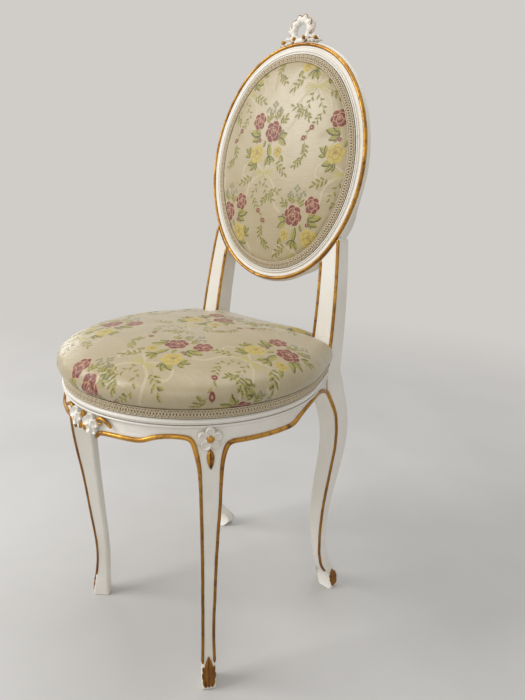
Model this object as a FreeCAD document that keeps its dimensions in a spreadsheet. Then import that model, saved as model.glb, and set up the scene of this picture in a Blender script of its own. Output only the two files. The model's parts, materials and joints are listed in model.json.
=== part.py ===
import FreeCAD, Part
import os
import re
import Sketcher

# A white and gilt side chair: cabriole legs, a round seat on a moulded rail, and an oval padded
# back on two stiles. Millimetres and degrees; +Z is up, the chair faces -Y, the floor is z = 0.

doc = FreeCAD.newDocument("MedallionSideChair")
sheet = doc.addObject("Spreadsheet::Sheet", "Sizes")
Vector = FreeCAD.Vector

# Driving dimensions
SIZES = {
    # Seat rail: a round front that runs straight back to the rear legs
    "seat_height": 425,
    "seat_radius": 190,
    "seat_splay": 22.7,
    "seat_shift": 17.95,
    "rail_width": 30,
    "rail_drop": 34,
    "rail_cove": 2,
    "rail_bead": 7,
    "rail_foot": 10,
    "tack_height": 15,
    "tack_setback": 5,
    "rear_rail_depth": 26,
    "rail_housing": 4,
    "front_arch_share": 0.642,
    "front_arch_span_share": 0.326,
    "front_arch_rise": 9,
    "side_arch_share": 0.511,
    "side_arch_span_share": 0.936,
    "side_arch_rise": 16,
    # Front legs: radial sections at seven stations, and the post between the rails. A level is a share
    # of the rail's height over the floor, and out is how far the section stands outside the rail
    "front_leg_angle": 36,
    "post_half_angle": 6.6,
    "front_toe_level": 0, "front_toe_out": -8, "front_toe_depth": 27, "front_toe_width": 22,
    "front_foot_level": 0.097, "front_foot_out": -13, "front_foot_depth": 22, "front_foot_width": 20,
    "front_ankle_level": 0.217, "front_ankle_out": -18, "front_ankle_depth": 18.5, "front_ankle_width": 18,
    "front_shin_level": 0.409, "front_shin_out": -11.5, "front_shin_depth": 21, "front_shin_width": 19.5,
    "front_calf_level": 0.583, "front_calf_out": -4, "front_calf_depth": 24, "front_calf_width": 21.5,
    "front_knee_level": 0.844, "front_knee_out": 9, "front_knee_depth": 33, "front_knee_width": 27.5,
    "front_ear_level": 0.954, "front_ear_out": 6, "front_ear_depth": 33, "front_ear_width": 34,
    "leg_round": 4,
    "leg_top_round": 1,
    # Rear legs: sections square to the chair, bowed back at the knee and in at the ankle. Out and back
    # are measured from the outer front corner of the post above
    "rear_toe_level": 0, "rear_toe_out": 5, "rear_toe_back": 43, "rear_toe_depth": 27, "rear_toe_width": 27,
    "rear_foot_level": 0.115, "rear_foot_out": 3, "rear_foot_back": 28, "rear_foot_depth": 22,
    "rear_foot_width": 24,
    "rear_ankle_level": 0.307, "rear_ankle_out": 1, "rear_ankle_back": 6.5, "rear_ankle_depth": 19,
    "rear_ankle_width": 22,
    "rear_calf_level": 0.578, "rear_calf_out": 1, "rear_calf_back": 20, "rear_calf_depth": 28,
    "rear_calf_width": 31,
    "rear_knee_level": 0.8, "rear_knee_out": 2, "rear_knee_back": 33.5, "rear_knee_depth": 33,
    "rear_knee_width": 38,
    "rear_thigh_level": 0.923, "rear_thigh_out": 0, "rear_thigh_back": 22, "rear_thigh_depth": 37,
    "rear_thigh_width": 43,
    "rear_arch_level": 0.969, "rear_arch_out": 0, "rear_arch_back": 9, "rear_arch_depth": 43,
    "rear_arch_width": 41,
    "rear_block_back": 2, "rear_block_depth": 44,
    # Back: an oval of four arcs in a leaning plane, on two stiles
    "post_front": 141,
    "back_tilt": 8.3,
    "back_gap": 51,
    "oval_half_width": 154,
    "oval_stretch": 27,
    "oval_joint": 37.7,
    "oval_bead": 4,
    "oval_edge": 0.5,
    "oval_bead_rise": 2.5,
    "oval_band": 19,
    "oval_tack_band": 15,
    "oval_depth": 24,
    "oval_side": 16,
    "oval_bevel": 8,
    "oval_rebate": 4,
    "oval_web_rebate": 8,
    "oval_back_rebate": 4,
    "stile_width": 39,
    "stile_head_level": 0.343,
    "stile_head_width": 32,
    "stile_head_share": 0.805,
    "stile_bow": 5,
    "stile_foot_depth": 33,
    # Joinery
    "dowel_radius": 3,
    "dowel_length": 30,
    "dowel_fit": 0.1,
    "dowel_inset": 13,
    "dowel_rise": 13,
    "dowel_gap": 18,
    "side_dowel_rise": 10,
    "rear_dowel_rise": 17,
    "stile_dowel_length": 20,
    "stile_dowel_spread": 9,
    "stile_peg_share": 0.688,
    "oval_peg_inset": 9,
    "block_width": 26,
    "block_height": 28,
    "block_rise": 8,
    "block_half_angle": 17,
    "block_leg": 52,
    "block_clear": 0.2,
    "screw_radius": 2,
    "screw_head_radius": 4,
    "screw_head_height": 2.5,
    "screw_length": 38,
    "screw_spread": 11,
    "rear_screw_inset": 26,
    "rear_screw_grip": 12,
    "rear_screw_length": 28,
    # Carvings
    "flower_radius": 15,
    "flower_notch": 11,
    "flower_sink": 4,
    "flower_proud": 4.5,
    "flower_drop": 25,
    "boss_radius": 4,
    "boss_height": 2,
    "twin_flower_angle": 4.8,
    "twin_leaf_half_height": 16,
    "twin_leaf_half_width": 6,
    "twin_leaf_bow": 1.5,
    "crest_half_width": 19,
    "crest_half_height": 22,
    "crest_bow": 7,
    "crest_hole_radius": 8,
    "crest_hole_lift": 2,
    "crest_sink": 4,
    "crest_thickness": 11,
    "crest_setback": 5,
    "crest_leaf_half_span": 42,
    "crest_leaf_height": 9,
    # Upholstery
    "cloth": 1.2,
    "soft_clear": 0.3,
    "web_width": 50,
    "web_pitch": 92,
    "web_margin": 8,
    "cushion_rise": 71,
    "cushion_waist_rise": 30,
    "cushion_bulge": 9,
    "cushion_run_share": 0.842,
    "stuffing_foot_in": 4,
    "dome_fullness": 0.95,
    "gimp_width": 12,
    "gimp_thickness": 3.4,
    "tack_head_radius": 2.5,
    "tack_head": 0.8,
    "tack_shank_radius": 0.8,
    "tack_length": 10,
    "tack_angle": 13.5,
    "rear_tack_share": 0.37,
    "pad_rim": 7,
    "pad_crown": 16,
    "pad_run_share": 1.082,
    "back_web_width": 45,
    "back_web_out": 45,
    "outside_back_thickness": 2,
}
for row, (alias, size) in enumerate(SIZES.items(), start=1):
    sheet.set("A%d" % row, "'" + alias)
    sheet.set("B%d" % row, str(size))
    sheet.setAlias("B%d" % row, alias)
doc.recompute()


def cells(text):
    """The formula with each size's name written as a cell of the sheet."""
    return re.sub(r"[a-z_]+", lambda word: "Sizes." + word[0] if word[0] in SIZES else word[0], text)


def value(text):
    """The formula's value now, as a plain number."""
    return float(sheet.evalExpression(cells(text)))


def bind(item, prop, text):
    item.setExpression(prop, cells(text))


# Formulas that several pieces share
RAIL_FOOT = "(seat_height - rail_drop)"
TACK_TOP = "(seat_height + tack_height)"
INNER = "(seat_radius - rail_width)"
POST_OUT = "(seat_radius / cos(seat_splay) - post_front * tan(seat_splay))"
POST_IN = "(%s - stile_width)" % POST_OUT
REAR_FACE = "(post_front + rear_rail_depth)"
CUSHION_TOP = "(seat_height + cushion_rise)"
CUSHION_WAIST = "(seat_height + cushion_waist_rise)"
CUSHION_RUN = "(seat_radius * cushion_run_share)"
HALF_HEIGHT = "(oval_half_width + oval_stretch)"
OVAL_HEIGHT = "(%s + back_gap + %s)" % (CUSHION_TOP, HALF_HEIGHT)
OVAL_SPREAD = "(oval_stretch / (cos(oval_joint) + sin(oval_joint) - 1))"
SIDE_CENTRE = "(%s * cos(oval_joint))" % OVAL_SPREAD
END_CENTRE = "(%s * sin(oval_joint))" % OVAL_SPREAD
SIDE_RADIUS = "(oval_half_width + %s)" % SIDE_CENTRE
END_RADIUS = "(%s - %s)" % (HALF_HEIGHT, END_CENTRE)
OVAL_LIP = "(oval_bead + oval_edge)"
PAD_RUN = "(pad_run_share * (%s - oval_band - gimp_width))" % END_RADIUS
STILE_FOOT = "((seat_height - %s) / cos(back_tilt))" % OVAL_HEIGHT
BACK_Y = "(post_front + (%s - seat_height) * tan(back_tilt) - seat_shift)" % OVAL_HEIGHT


def place(x, y, z, turn="rotationz(0)"):
    """A placement's formula: a move, and a turn about the point that it moves to."""
    return "placement(vector(%s; %s; %s); %s)" % (x, y, z, turn)


def turned(angle):
    """A turn about the vertical through the frame's own origin."""
    return place("0", "0", "0", "rotationz(%s)" % angle)


def within(*frames):
    """Placements one inside the other, the outermost first."""
    return " * ".join(frames)


# Frames: the seat's centre on the floor, a front leg's own radius, and the leaning back
SEAT = place("0", "-seat_shift", "0")
FRONT_LEG = within(SEAT, turned("-front_leg_angle"))
BACK = place("0", BACK_Y, OVAL_HEIGHT, "rotationx(-back_tilt)")


def draw(sketch, corners, arcs=None):
    """A closed outline, anticlockwise, whose corners follow the sheet.

    arcs maps an edge's number to ("radius", formula), an arc that bulges outwards, or to
    ("rise", formula), an arc that stands off its chord by that much, inwards where it is negative.
    """
    arcs = arcs or {}
    points = [Vector(value(x), value(y), 0) for x, y in corners]
    count = len(points)
    starts = []
    ends = []
    for edge, start in enumerate(points):
        end = points[(edge + 1) % count]
        if edge not in arcs:
            sketch.addGeometry(Part.LineSegment(start, end))
            starts.append(1)
            ends.append(2)
            continue
        kind, text = arcs[edge]
        chord = end - start
        outward = Vector(chord.y, -chord.x, 0).normalize()
        size = value(text)
        half = chord.Length / 2
        rise = size if kind == "rise" else size - (size ** 2 - half ** 2) ** 0.5
        sketch.addGeometry(Part.ArcOfCircle(start, (start + end) / 2 + outward * rise, end))
        starts.append(1 if rise > 0 else 2)
        ends.append(2 if rise > 0 else 1)
    for edge in range(count):
        after = (edge + 1) % count
        sketch.addConstraint(Sketcher.Constraint("Coincident", edge, ends[edge], after, starts[after]))
    for edge, (across, up) in enumerate(corners):
        for kind, text in (("DistanceX", across), ("DistanceY", up)):
            number = sketch.addConstraint(Sketcher.Constraint(kind, edge, starts[edge], value(text)))
            bind(sketch, "Constraints[%d]" % number, text)
    for edge, (kind, text) in arcs.items():
        radius = text
        if kind == "rise":
            (x1, y1), (x2, y2) = corners[edge], corners[(edge + 1) % count]
            radius = "abs((((%s) - (%s))^2 + ((%s) - (%s))^2) / (8 * (%s)) + (%s) / 2)" % (
                x2, x1, y2, y1, text, text)
        number = sketch.addConstraint(Sketcher.Constraint("Radius", edge, value(radius)))
        bind(sketch, "Constraints[%d]" % number, radius)


def draw_circles(sketch, circles):
    """Circles given as (x, y, radius) formulas."""
    for number, (x, y, radius) in enumerate(circles):
        centre = Vector(value(x), value(y), 0)
        sketch.addGeometry(Part.Circle(centre, Vector(0, 0, 1), value(radius)))
        for kind, text in (("DistanceX", x), ("DistanceY", y)):
            index = sketch.addConstraint(Sketcher.Constraint(kind, number, 3, value(text)))
            bind(sketch, "Constraints[%d]" % index, text)
        index = sketch.addConstraint(Sketcher.Constraint("Radius", number, value(radius)))
        bind(sketch, "Constraints[%d]" % index, radius)


def new_body(label, frame):
    body = doc.addObject("PartDesign::Body", label)
    body.Label = label
    bind(body, "Placement", frame)
    return body


def origin_item(body, role):
    """One of the planes or axes of the body's own origin."""
    return [item for item in body.Origin.OriginFeatures if item.Role == role][0]


def new_sketch(body, plane, offset=None):
    """A sketch on one of the body's origin planes, moved by the offset's placement formula."""
    sketch = body.newObject("Sketcher::SketchObject", body.Name + "_sketch")
    sketch.AttachmentSupport = [(origin_item(body, plane), "")]
    sketch.MapMode = "FlatFace"
    if offset:
        bind(sketch, "AttachmentOffset", offset)
    return sketch


def turning_axis(sketch, start, end):
    """A construction line in the sketch, between two points given as formulas, to turn about."""
    points = [Vector(value(x), value(y), 0) for x, y in (start, end)]
    number = sketch.addGeometry(Part.LineSegment(*points))
    sketch.toggleConstruction(number)
    for corner, (across, up) in ((1, start), (2, end)):
        for kind, text in (("DistanceX", across), ("DistanceY", up)):
            index = sketch.addConstraint(Sketcher.Constraint(kind, number, corner, value(text)))
            bind(sketch, "Constraints[%d]" % index, text)
    return (sketch, ["Axis0"])


def pad(body, sketch, length, backwards=False, middle=False):
    feature = body.newObject("PartDesign::Pad", body.Name + "_pad")
    feature.Profile = sketch
    feature.Reversed = backwards
    feature.Midplane = middle
    bind(feature, "Length", length)
    doc.recompute()
    return feature


def loft(body, sketches):
    feature = body.newObject("PartDesign::AdditiveLoft", body.Name + "_loft")
    feature.Profile = sketches[0]
    feature.Sections = sketches[1:]
    doc.recompute()
    return feature


def revolve(body, sketch, axis, angle, angle_back=None):
    """Turn a section about an axis: evenly both ways, or by two angles where the second is given."""
    feature = body.newObject("PartDesign::Revolution", body.Name + "_turn")
    feature.Profile = sketch
    feature.ReferenceAxis = axis
    if angle_back is None:
        feature.Midplane = True
    else:
        feature.Type = "TwoAngles"
        bind(feature, "Angle2", angle_back)
    bind(feature, "Angle", angle)
    doc.recompute()
    return feature


def pocket_through(body, sketch):
    """Cut right through, both ways; a cut that takes nothing away is an error."""
    before = body.Shape.Volume
    feature = body.newObject("PartDesign::Pocket", body.Name + "_pocket")
    feature.Profile = sketch
    feature.Type = "ThroughAll"
    feature.Midplane = True
    doc.recompute()
    if body.Shape.Volume >= before:
        raise ValueError("a pocket in %s cuts nothing" % body.Label)
    return feature


def cylinder(name, frame, radius, length):
    item = doc.addObject("Part::Cylinder", name)
    bind(item, "Radius", radius)
    bind(item, "Height", length)
    bind(item, "Placement", frame)
    return item


def box(name, frame, length, width, height):
    item = doc.addObject("Part::Box", name)
    bind(item, "Length", length)
    bind(item, "Width", width)
    bind(item, "Height", height)
    bind(item, "Placement", frame)
    return item


def mirrored(label, source):
    """The same piece on the chair's left side."""
    item = doc.addObject("Part::Mirroring", label)
    item.Label = label
    item.Source = source
    item.Normal = Vector(1, 0, 0)
    return item


def group(label, items):
    item = doc.addObject("Part::Compound", label)
    item.Label = label
    item.Links = items
    return item


def fused(name, items):
    item = doc.addObject("Part::MultiFuse", name)
    item.Shapes = items
    return item


def cut(label, base, tool):
    item = doc.addObject("Part::Cut", label)
    item.Label = label
    item.Base = base
    item.Tool = tool
    return item


def common(label, base, tool):
    item = doc.addObject("Part::Common", label)
    item.Label = label
    item.Base = base
    item.Tool = tool
    return item


NODES = {}


def keep(item):
    """Count an object as a finished piece of the chair, under its label."""
    NODES[item.Label] = item
    return item


# Rail moulding: bead at the top, shallow cove, square foot, and a set-back edge for the tacks
def rail_section(outer, width):
    inner = "(%s - %s)" % (outer, width)
    tack = "(%s - tack_setback)" % outer
    cove = "(%s - rail_cove)" % outer
    return [
        (inner, RAIL_FOOT),
        (outer, RAIL_FOOT),
        (cove, "(%s + rail_foot)" % RAIL_FOOT),
        (cove, "(seat_height - rail_bead - rail_cove)"),
        (outer, "(seat_height - rail_bead)"),
        (outer, "seat_height"),
        (tack, "seat_height"),
        (tack, TACK_TOP),
        (inner, TACK_TOP),
    ]


def rounded(corners, radius):
    """An outline with each corner cut back along both its sides, and the arcs that round it."""
    count = len(corners)
    points = []
    for number, (x, y) in enumerate(corners):
        for other in ((number - 1) % count, (number + 1) % count):
            x2, y2 = corners[other]
            share = "(%s / sqrt((%s - %s)^2 + (%s - %s)^2))" % (radius, x2, x, y2, y)
            points.append(("(%s + %s * (%s - %s))" % (x, share, x2, x),
                           "(%s + %s * (%s - %s))" % (y, share, y2, y)))
    rise = "(%s * (1 - sqrt(0.5)))" % radius
    return points, {edge: ("rise", rise) for edge in range(0, 2 * count, 2)}


# Front legs
FRONT_STATIONS = ["toe", "foot", "ankle", "shin", "calf", "knee", "ear"]


def wedge(reach, inner, width):
    """A leg's section: its two sides lie on radii, so it is a little narrower inside."""
    narrow = "(%s * %s / %s)" % (width, inner, reach)
    return [
        (inner, "(-%s / 2)" % narrow),
        (reach, "(-%s / 2)" % width),
        (reach, "(%s / 2)" % width),
        (inner, "(%s / 2)" % narrow),
    ]


def front_leg():
    body = new_body("front_leg_shape", FRONT_LEG)
    sketches = []
    for station in FRONT_STATIONS:
        name = "front_" + station
        sketch = new_sketch(body, "XY_Plane", place("0", "0", "%s * %s_level" % (RAIL_FOOT, name)))
        reach = "(seat_radius + %s_out)" % name
        draw(sketch, *rounded(wedge(reach, "(%s - %s_depth)" % (reach, name), name + "_width"), "leg_round"))
        sketches.append(sketch)
    top = new_sketch(body, "XY_Plane", place("0", "0", RAIL_FOOT))
    near = "(%s * cos(post_half_angle))" % INNER
    far = "(seat_radius * cos(post_half_angle))"
    draw(top, *rounded(wedge(far, near, "(2 * seat_radius * sin(post_half_angle))"), "leg_top_round"))
    sketches.append(top)
    doc.recompute()
    loft(body, sketches)
    section = new_sketch(body, "XZ_Plane")
    draw(section, rail_section("seat_radius", "rail_width"))
    doc.recompute()
    revolve(body, section, (origin_item(body, "Z_Axis"), [""]), "2 * post_half_angle")
    return body


# Rear legs
REAR_STATIONS = ["toe", "foot", "ankle", "calf", "knee", "thigh", "arch"]


def oblong(out, width, front, depth):
    inner = "(%s - %s)" % (out, width)
    back = "(%s + %s)" % (front, depth)
    return [(inner, front), (out, front), (out, back), (inner, back)]


def rear_leg():
    body = new_body("rear_leg_shape", SEAT)
    sketches = []
    for station in REAR_STATIONS:
        name = "rear_" + station
        sketch = new_sketch(body, "XY_Plane", place("0", "0", "%s * %s_level" % (RAIL_FOOT, name)))
        out = "(%s + %s_out)" % (POST_OUT, name)
        front = "(post_front + %s_back)" % name
        draw(sketch, *rounded(oblong(out, name + "_width", front, name + "_depth"), "leg_round"))
        sketches.append(sketch)
    post = oblong(POST_OUT, "stile_width", "(post_front + rear_block_back)", "rear_block_depth")
    level = place("0", "0", RAIL_FOOT)
    head = new_sketch(body, "XY_Plane", level)
    draw(head, *rounded(post, "leg_top_round"))
    doc.recompute()
    loft(body, sketches + [head])
    block = new_sketch(body, "XY_Plane", level)
    draw(block, post)
    lean = place("0", "post_front", "seat_height", "rotationx(-back_tilt)")
    top = new_sketch(body, "XY_Plane", lean)
    draw(top, oblong(POST_OUT, "stile_width", "0", "stile_foot_depth"))
    doc.recompute()
    loft(body, [block, top])
    return body


# Back stiles, sawn from the plank of the leaning back plane
def oval_corners(inset):
    """The four points where an oval's arcs meet, the oval being this much inside the bead line."""
    across = "((%s - (%s)) * cos(oval_joint) - %s)" % (SIDE_RADIUS, inset, SIDE_CENTRE)
    up = "((%s - (%s)) * sin(oval_joint))" % (SIDE_RADIUS, inset)
    corners = [
        (across, "(-%s)" % up),
        (across, up),
        ("(-%s)" % across, up),
        ("(-%s)" % across, "(-%s)" % up),
    ]
    side = ("radius", "(%s - (%s))" % (SIDE_RADIUS, inset))
    end = ("radius", "(%s - (%s))" % (END_RADIUS, inset))
    return corners, {0: side, 1: end, 2: side, 3: end}


def oval_slab(label, inset, front, depth):
    """A flat oval of the back plane, from this depth behind the front face."""
    body = new_body(label, BACK)
    sketch = new_sketch(body, "XZ_Plane", place("0", "0", "-(%s)" % front))
    corners, arcs = oval_corners(inset)
    draw(sketch, corners, arcs)
    doc.recompute()
    pad(body, sketch, depth, backwards=True)
    return body


def stile_blank():
    body = new_body("stile_shape", BACK)
    sketch = new_sketch(body, "XZ_Plane")
    head = "(-%s * stile_head_level)" % HALF_HEIGHT
    head_out = "(oval_half_width * stile_head_share)"
    corners = [
        (POST_IN, STILE_FOOT),
        (POST_OUT, STILE_FOOT),
        (head_out, head),
        ("(%s - stile_head_width)" % head_out, head),
    ]
    draw(sketch, corners, {1: ("rise", "stile_bow"), 3: ("rise", "(-stile_bow)")})
    doc.recompute()
    pad(body, sketch, "stile_foot_depth", backwards=True)
    taper = new_sketch(body, "YZ_Plane")
    draw(taper, [
        ("stile_foot_depth", STILE_FOOT),
        ("(2 * stile_foot_depth)", STILE_FOOT),
        ("(2 * stile_foot_depth)", head),
        ("oval_depth", head),
    ])
    doc.recompute()
    pocket_through(body, taper)
    return body


# Oval frame: one moulding turned about the arcs' centres
def oval_section(line):
    """The moulding's outline, as (radius, depth behind the front face), about the bead line's radius."""
    steps = [
        (OVAL_LIP, "0"),
        (OVAL_LIP, "oval_side"),
        ("(%s - oval_bevel)" % OVAL_LIP, "oval_depth"),
        ("(oval_back_rebate - oval_band)", "oval_depth"),
        ("(oval_back_rebate - oval_band)", "(oval_depth - oval_back_rebate)"),
        ("(-oval_band - oval_tack_band)", "(oval_depth - oval_back_rebate)"),
        ("(-oval_band - oval_tack_band)", "oval_web_rebate"),
        ("(-oval_band - pad_rim)", "oval_web_rebate"),
        ("(-oval_band - pad_rim)", "oval_rebate"),
        ("(-oval_band)", "oval_rebate"),
        ("(-oval_band)", "0"),
        ("(-oval_bead)", "0"),
        ("(-oval_bead / 2)", "(-oval_bead_rise)"),
        ("(oval_bead / 2)", "(-oval_bead_rise)"),
        ("oval_bead", "0"),
    ]
    return [("(%s + %s)" % (line, out), deep) for out, deep in steps]


def oval_side():
    """The right-hand length of the oval, evenly above and below the middle."""
    body = new_body("oval_side_shape", BACK)
    sketch = new_sketch(body, "XY_Plane")
    draw(sketch, oval_section("oval_half_width"))
    centre = "(-%s)" % SIDE_CENTRE
    axis = turning_axis(sketch, (centre, "0"), (centre, "oval_depth"))
    doc.recompute()
    revolve(body, sketch, axis, "2 * oval_joint")
    return body


def oval_end(label, sign):
    """The top or, with a minus sign, the bottom length of the oval."""
    body = new_body(label, BACK)
    sketch = new_sketch(body, "YZ_Plane")
    draw(sketch, [(deep, "(%s%s)" % (sign, out)) for out, deep in oval_section(HALF_HEIGHT)])
    centre = "(%s%s)" % (sign, END_CENTRE)
    axis = turning_axis(sketch, ("0", centre), ("oval_depth", centre))
    doc.recompute()
    revolve(body, sketch, axis, "2 * (90 - oval_joint)")
    return body


# Seat rails
def arch(centre, span, rise):
    """The circle whose top cuts an arch of this span and rise into the rail's foot."""
    radius = "(%s^2 / (8 * %s) + %s / 2)" % (span, rise, rise)
    return (centre, "(%s + %s - %s)" % (RAIL_FOOT, rise, radius), radius)


def front_rail():
    body = new_body("front_rail_shape", SEAT)
    section = new_sketch(body, "YZ_Plane")
    draw(section, [("(-%s)" % out, up) for out, up in rail_section("seat_radius", "rail_width")])
    doc.recompute()
    upright = (origin_item(body, "Z_Axis"), [""])
    revolve(body, section, upright, "2 * (90 - front_leg_angle - post_half_angle)")
    arches = new_sketch(body, "XZ_Plane")
    span = "(seat_radius * front_arch_span_share)"
    draw_circles(arches, [arch(side + "(seat_radius * front_arch_share)", span, "front_arch_rise")
                          for side in ("", "-")])
    doc.recompute()
    pocket_through(body, arches)
    return body


def side_rail():
    """The right-hand rail: round beside the front leg, then straight into the rear leg."""
    body = new_body("side_rail_shape", SEAT)
    section = new_sketch(body, "XZ_Plane")
    draw(section, rail_section("seat_radius", "rail_width"))
    doc.recompute()
    upright = (origin_item(body, "Z_Axis"), [""])
    revolve(body, section, upright, "seat_splay", "front_leg_angle - post_half_angle")
    straight = new_sketch(body, "XZ_Plane", place("0", "0", "0", "rotationy(seat_splay)"))
    draw(straight, rail_section("seat_radius", "rail_width"))
    doc.recompute()
    length = "(post_front - seat_radius * sin(seat_splay)) / cos(seat_splay)"
    pad(body, straight, length + " + rail_width * tan(seat_splay) + rail_housing", backwards=True)
    arches = new_sketch(body, "YZ_Plane")
    span = "(post_front * side_arch_span_share)"
    draw_circles(arches, [arch("(post_front * side_arch_share)", span, "side_arch_rise")])
    doc.recompute()
    pocket_through(body, arches)
    return body


def rear_rail():
    body = new_body("rear_rail_shape", SEAT)
    section = new_sketch(body, "YZ_Plane")
    draw(section, rail_section(REAR_FACE, "rear_rail_depth"))
    doc.recompute()
    pad(body, section, "2 * (%s + rail_housing)" % POST_IN, middle=True)
    return body


# Dowels: each is given by the frame at its middle, whose z axis is the dowel's own
def dowel(frame, length):
    start = within(frame, place("0", "0", "-%s / 2" % length))
    return cylinder("dowel", start, "dowel_radius", length)


def dowel_hole(frame, length):
    start = within(frame, place("0", "0", "-%s / 2 - dowel_fit" % length))
    return cylinder("dowel_hole", start, "dowel_radius + dowel_fit", "%s + 2 * dowel_fit" % length)


DOWEL_LINE = "(%s + dowel_inset)" % INNER


def post_joint(sign):
    """Frames of the two dowels at one side of the right front leg."""
    side = within(FRONT_LEG, turned(sign + "post_half_angle"))
    first = "%s + dowel_rise" % RAIL_FOOT
    return [within(side, place(DOWEL_LINE, "0", height, "rotationx(90)"))
            for height in (first, first + " + dowel_gap")]


SIDE_JOINT_RUN = "((post_front - %s * sin(seat_splay)) / cos(seat_splay))" % DOWEL_LINE
SIDE_JOINT = within(SEAT, turned("seat_splay"),
                    place(DOWEL_LINE, SIDE_JOINT_RUN, "%s + side_dowel_rise" % RAIL_FOOT, "rotationx(-90)"))
REAR_JOINT = within(SEAT, place(POST_IN, "post_front + rear_rail_depth / 2", "%s + rear_dowel_rise" % RAIL_FOOT,
                                "rotationy(90)"))
STILE_MIDDLE = "(%s + %s) / 2" % (POST_IN, POST_OUT)
STILE_JOINTS = [within(BACK, place("%s %s stile_dowel_spread" % (STILE_MIDDLE, sign), "stile_foot_depth / 2",
                                   STILE_FOOT)) for sign in "-+"]
STILE_PEG = "(oval_half_width * stile_peg_share)"
STILE_PEG_DROP = "(%s + sqrt((%s + %s)^2 - %s^2))" % (END_CENTRE, END_RADIUS, OVAL_LIP, STILE_PEG)
STILE_HEAD = within(BACK, place(STILE_PEG, "oval_depth / 2", "-" + STILE_PEG_DROP))
OVAL_JOINTS = [within(BACK, place("-" + SIDE_CENTRE, "oval_depth / 2", "0", "rotationy(%soval_joint)" % sign),
                      place("%s - oval_peg_inset" % SIDE_RADIUS, "0", "0")) for sign in ("-", "")]
RAIL_JOINTS = {
    "front": post_joint("-"),
    "side": post_joint("") + [SIDE_JOINT],
    "rear": [REAR_JOINT],
}


# Corner blocks and their screws
BLOCK_FOOT = "(%s + block_rise)" % RAIL_FOOT
BLOCK_MIDDLE = "(%s + block_height / 2)" % BLOCK_FOOT


def front_block():
    body = new_body("front_block_shape", FRONT_LEG)
    sketch = new_sketch(body, "XY_Plane", place("0", "0", BLOCK_FOOT))
    far = "(%s - block_clear)" % INNER
    near = "(%s - block_width)" % INNER
    corners = [("(%s * cos(block_half_angle))" % reach, "(%s%s * sin(block_half_angle))" % (sign, reach))
               for reach, sign in ((near, "-"), (far, "-"), (far, ""), (near, ""))]
    draw(sketch, corners, {1: ("radius", far), 3: ("rise", "(-%s * (1 - cos(block_half_angle)))" % near)})
    doc.recompute()
    pad(body, sketch, "block_height")
    return body


BLOCK_Y = "(post_front - block_clear)"
BLOCK_X = "((%s - block_clear) / cos(seat_splay) - %s * tan(seat_splay))" % (INNER, BLOCK_Y)


def rear_block():
    """A three-cornered block between the side rail, the rear leg and the rear rail."""
    body = new_body("rear_block_shape", SEAT)
    sketch = new_sketch(body, "XY_Plane", place("0", "0", BLOCK_FOOT))
    draw(sketch, [
        (BLOCK_X, BLOCK_Y),
        ("(%s - block_leg)" % BLOCK_X, BLOCK_Y),
        ("(%s + block_leg * sin(seat_splay))" % BLOCK_X, "(%s - block_leg * cos(seat_splay))" % BLOCK_Y),
    ])
    doc.recompute()
    pad(body, sketch, "block_height")
    return body


def screw(frame, grip, length):
    """A countersunk screw whose frame lies at the seam that it crosses, z along its shank."""
    start = within(frame, place("0", "0", "-" + grip))
    shank = cylinder("screw_shank", start, "screw_radius", length)
    head = doc.addObject("Part::Cone", "screw_head")
    bind(head, "Radius1", "screw_head_radius")
    bind(head, "Radius2", "screw_radius")
    bind(head, "Height", "screw_head_height")
    bind(head, "Placement", start)
    return fused("screw", [shank, head])


def screw_hole(frame, grip, length):
    start = within(frame, place("0", "0", "-" + grip))
    shank = cylinder("screw_bore", start, "screw_radius + dowel_fit", "%s + dowel_fit" % length)
    outside = within(start, place("0", "0", "screw_head_height - block_leg"))
    access = cylinder("screw_access", outside, "screw_head_radius + dowel_fit", "block_leg")
    return fused("screw_hole", [shank, access])


FRONT_SCREWS = [within(FRONT_LEG, turned(sign + "screw_spread"),
                       place(INNER, "0", BLOCK_MIDDLE, "rotationy(90)")) for sign in ("-", "")]
REAR_SCREW = within(SEAT, place("%s - rear_screw_inset" % BLOCK_X, "post_front", BLOCK_MIDDLE,
                                "rotationx(-90)"))
SIDE_SCREW = within(SEAT, place("%s + rear_screw_inset * sin(seat_splay)" % BLOCK_X,
                                "%s - rear_screw_inset * cos(seat_splay)" % BLOCK_Y, BLOCK_MIDDLE,
                                "rotationz(seat_splay)"), place("0", "0", "0", "rotationy(90)"))


# Tacks
def tack(frame):
    """A tack whose frame lies on the cloth, z pointing into the wood."""
    head = cylinder("tack_head", within(frame, place("0", "0", "-tack_head")), "tack_head_radius", "tack_head")
    shank = cylinder("tack_shank", frame, "tack_shank_radius", "tack_length")
    return fused("tack", [head, shank])


def tack_hole(frame):
    return cylinder("tack_hole", frame, "tack_shank_radius + dowel_fit", "tack_length + dowel_fit")


def each_way(length, step):
    """The whole steps that fit on both sides of the middle of a length."""
    count = int(value("%s / %s" % (length, step)))
    return range(-count, count + 1)


TACK_OUT = "tack_setback + soft_clear + cloth"
TACK_LINE = "(seat_height + gimp_width / 2)"
FRONT_TACKS = [within(SEAT, turned("-90 + %d * tack_angle" % step),
                      place("seat_radius - " + TACK_OUT, "0", TACK_LINE, "rotationy(-90)"))
               for step in each_way("(90 + seat_splay)", "tack_angle")]
REAR_TACKS = [within(SEAT, place("%d * rear_tack_share * %s" % (step, POST_IN),
                                 "%s - %s" % (REAR_FACE, TACK_OUT), TACK_LINE, "rotationx(90)"))
              for step in each_way("1", "rear_tack_share")]
PAD_TACK_INSET = "(oval_band + pad_rim / 2)"
PAD_SIDE_TACKS = [within(BACK, place("-" + SIDE_CENTRE, "0", "0", "rotationy(%d * tack_angle)" % step),
                         place("%s - %s" % (SIDE_RADIUS, PAD_TACK_INSET), "soft_clear", "0", "rotationx(-90)"))
                  for step in each_way("oval_joint", "tack_angle")]
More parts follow.
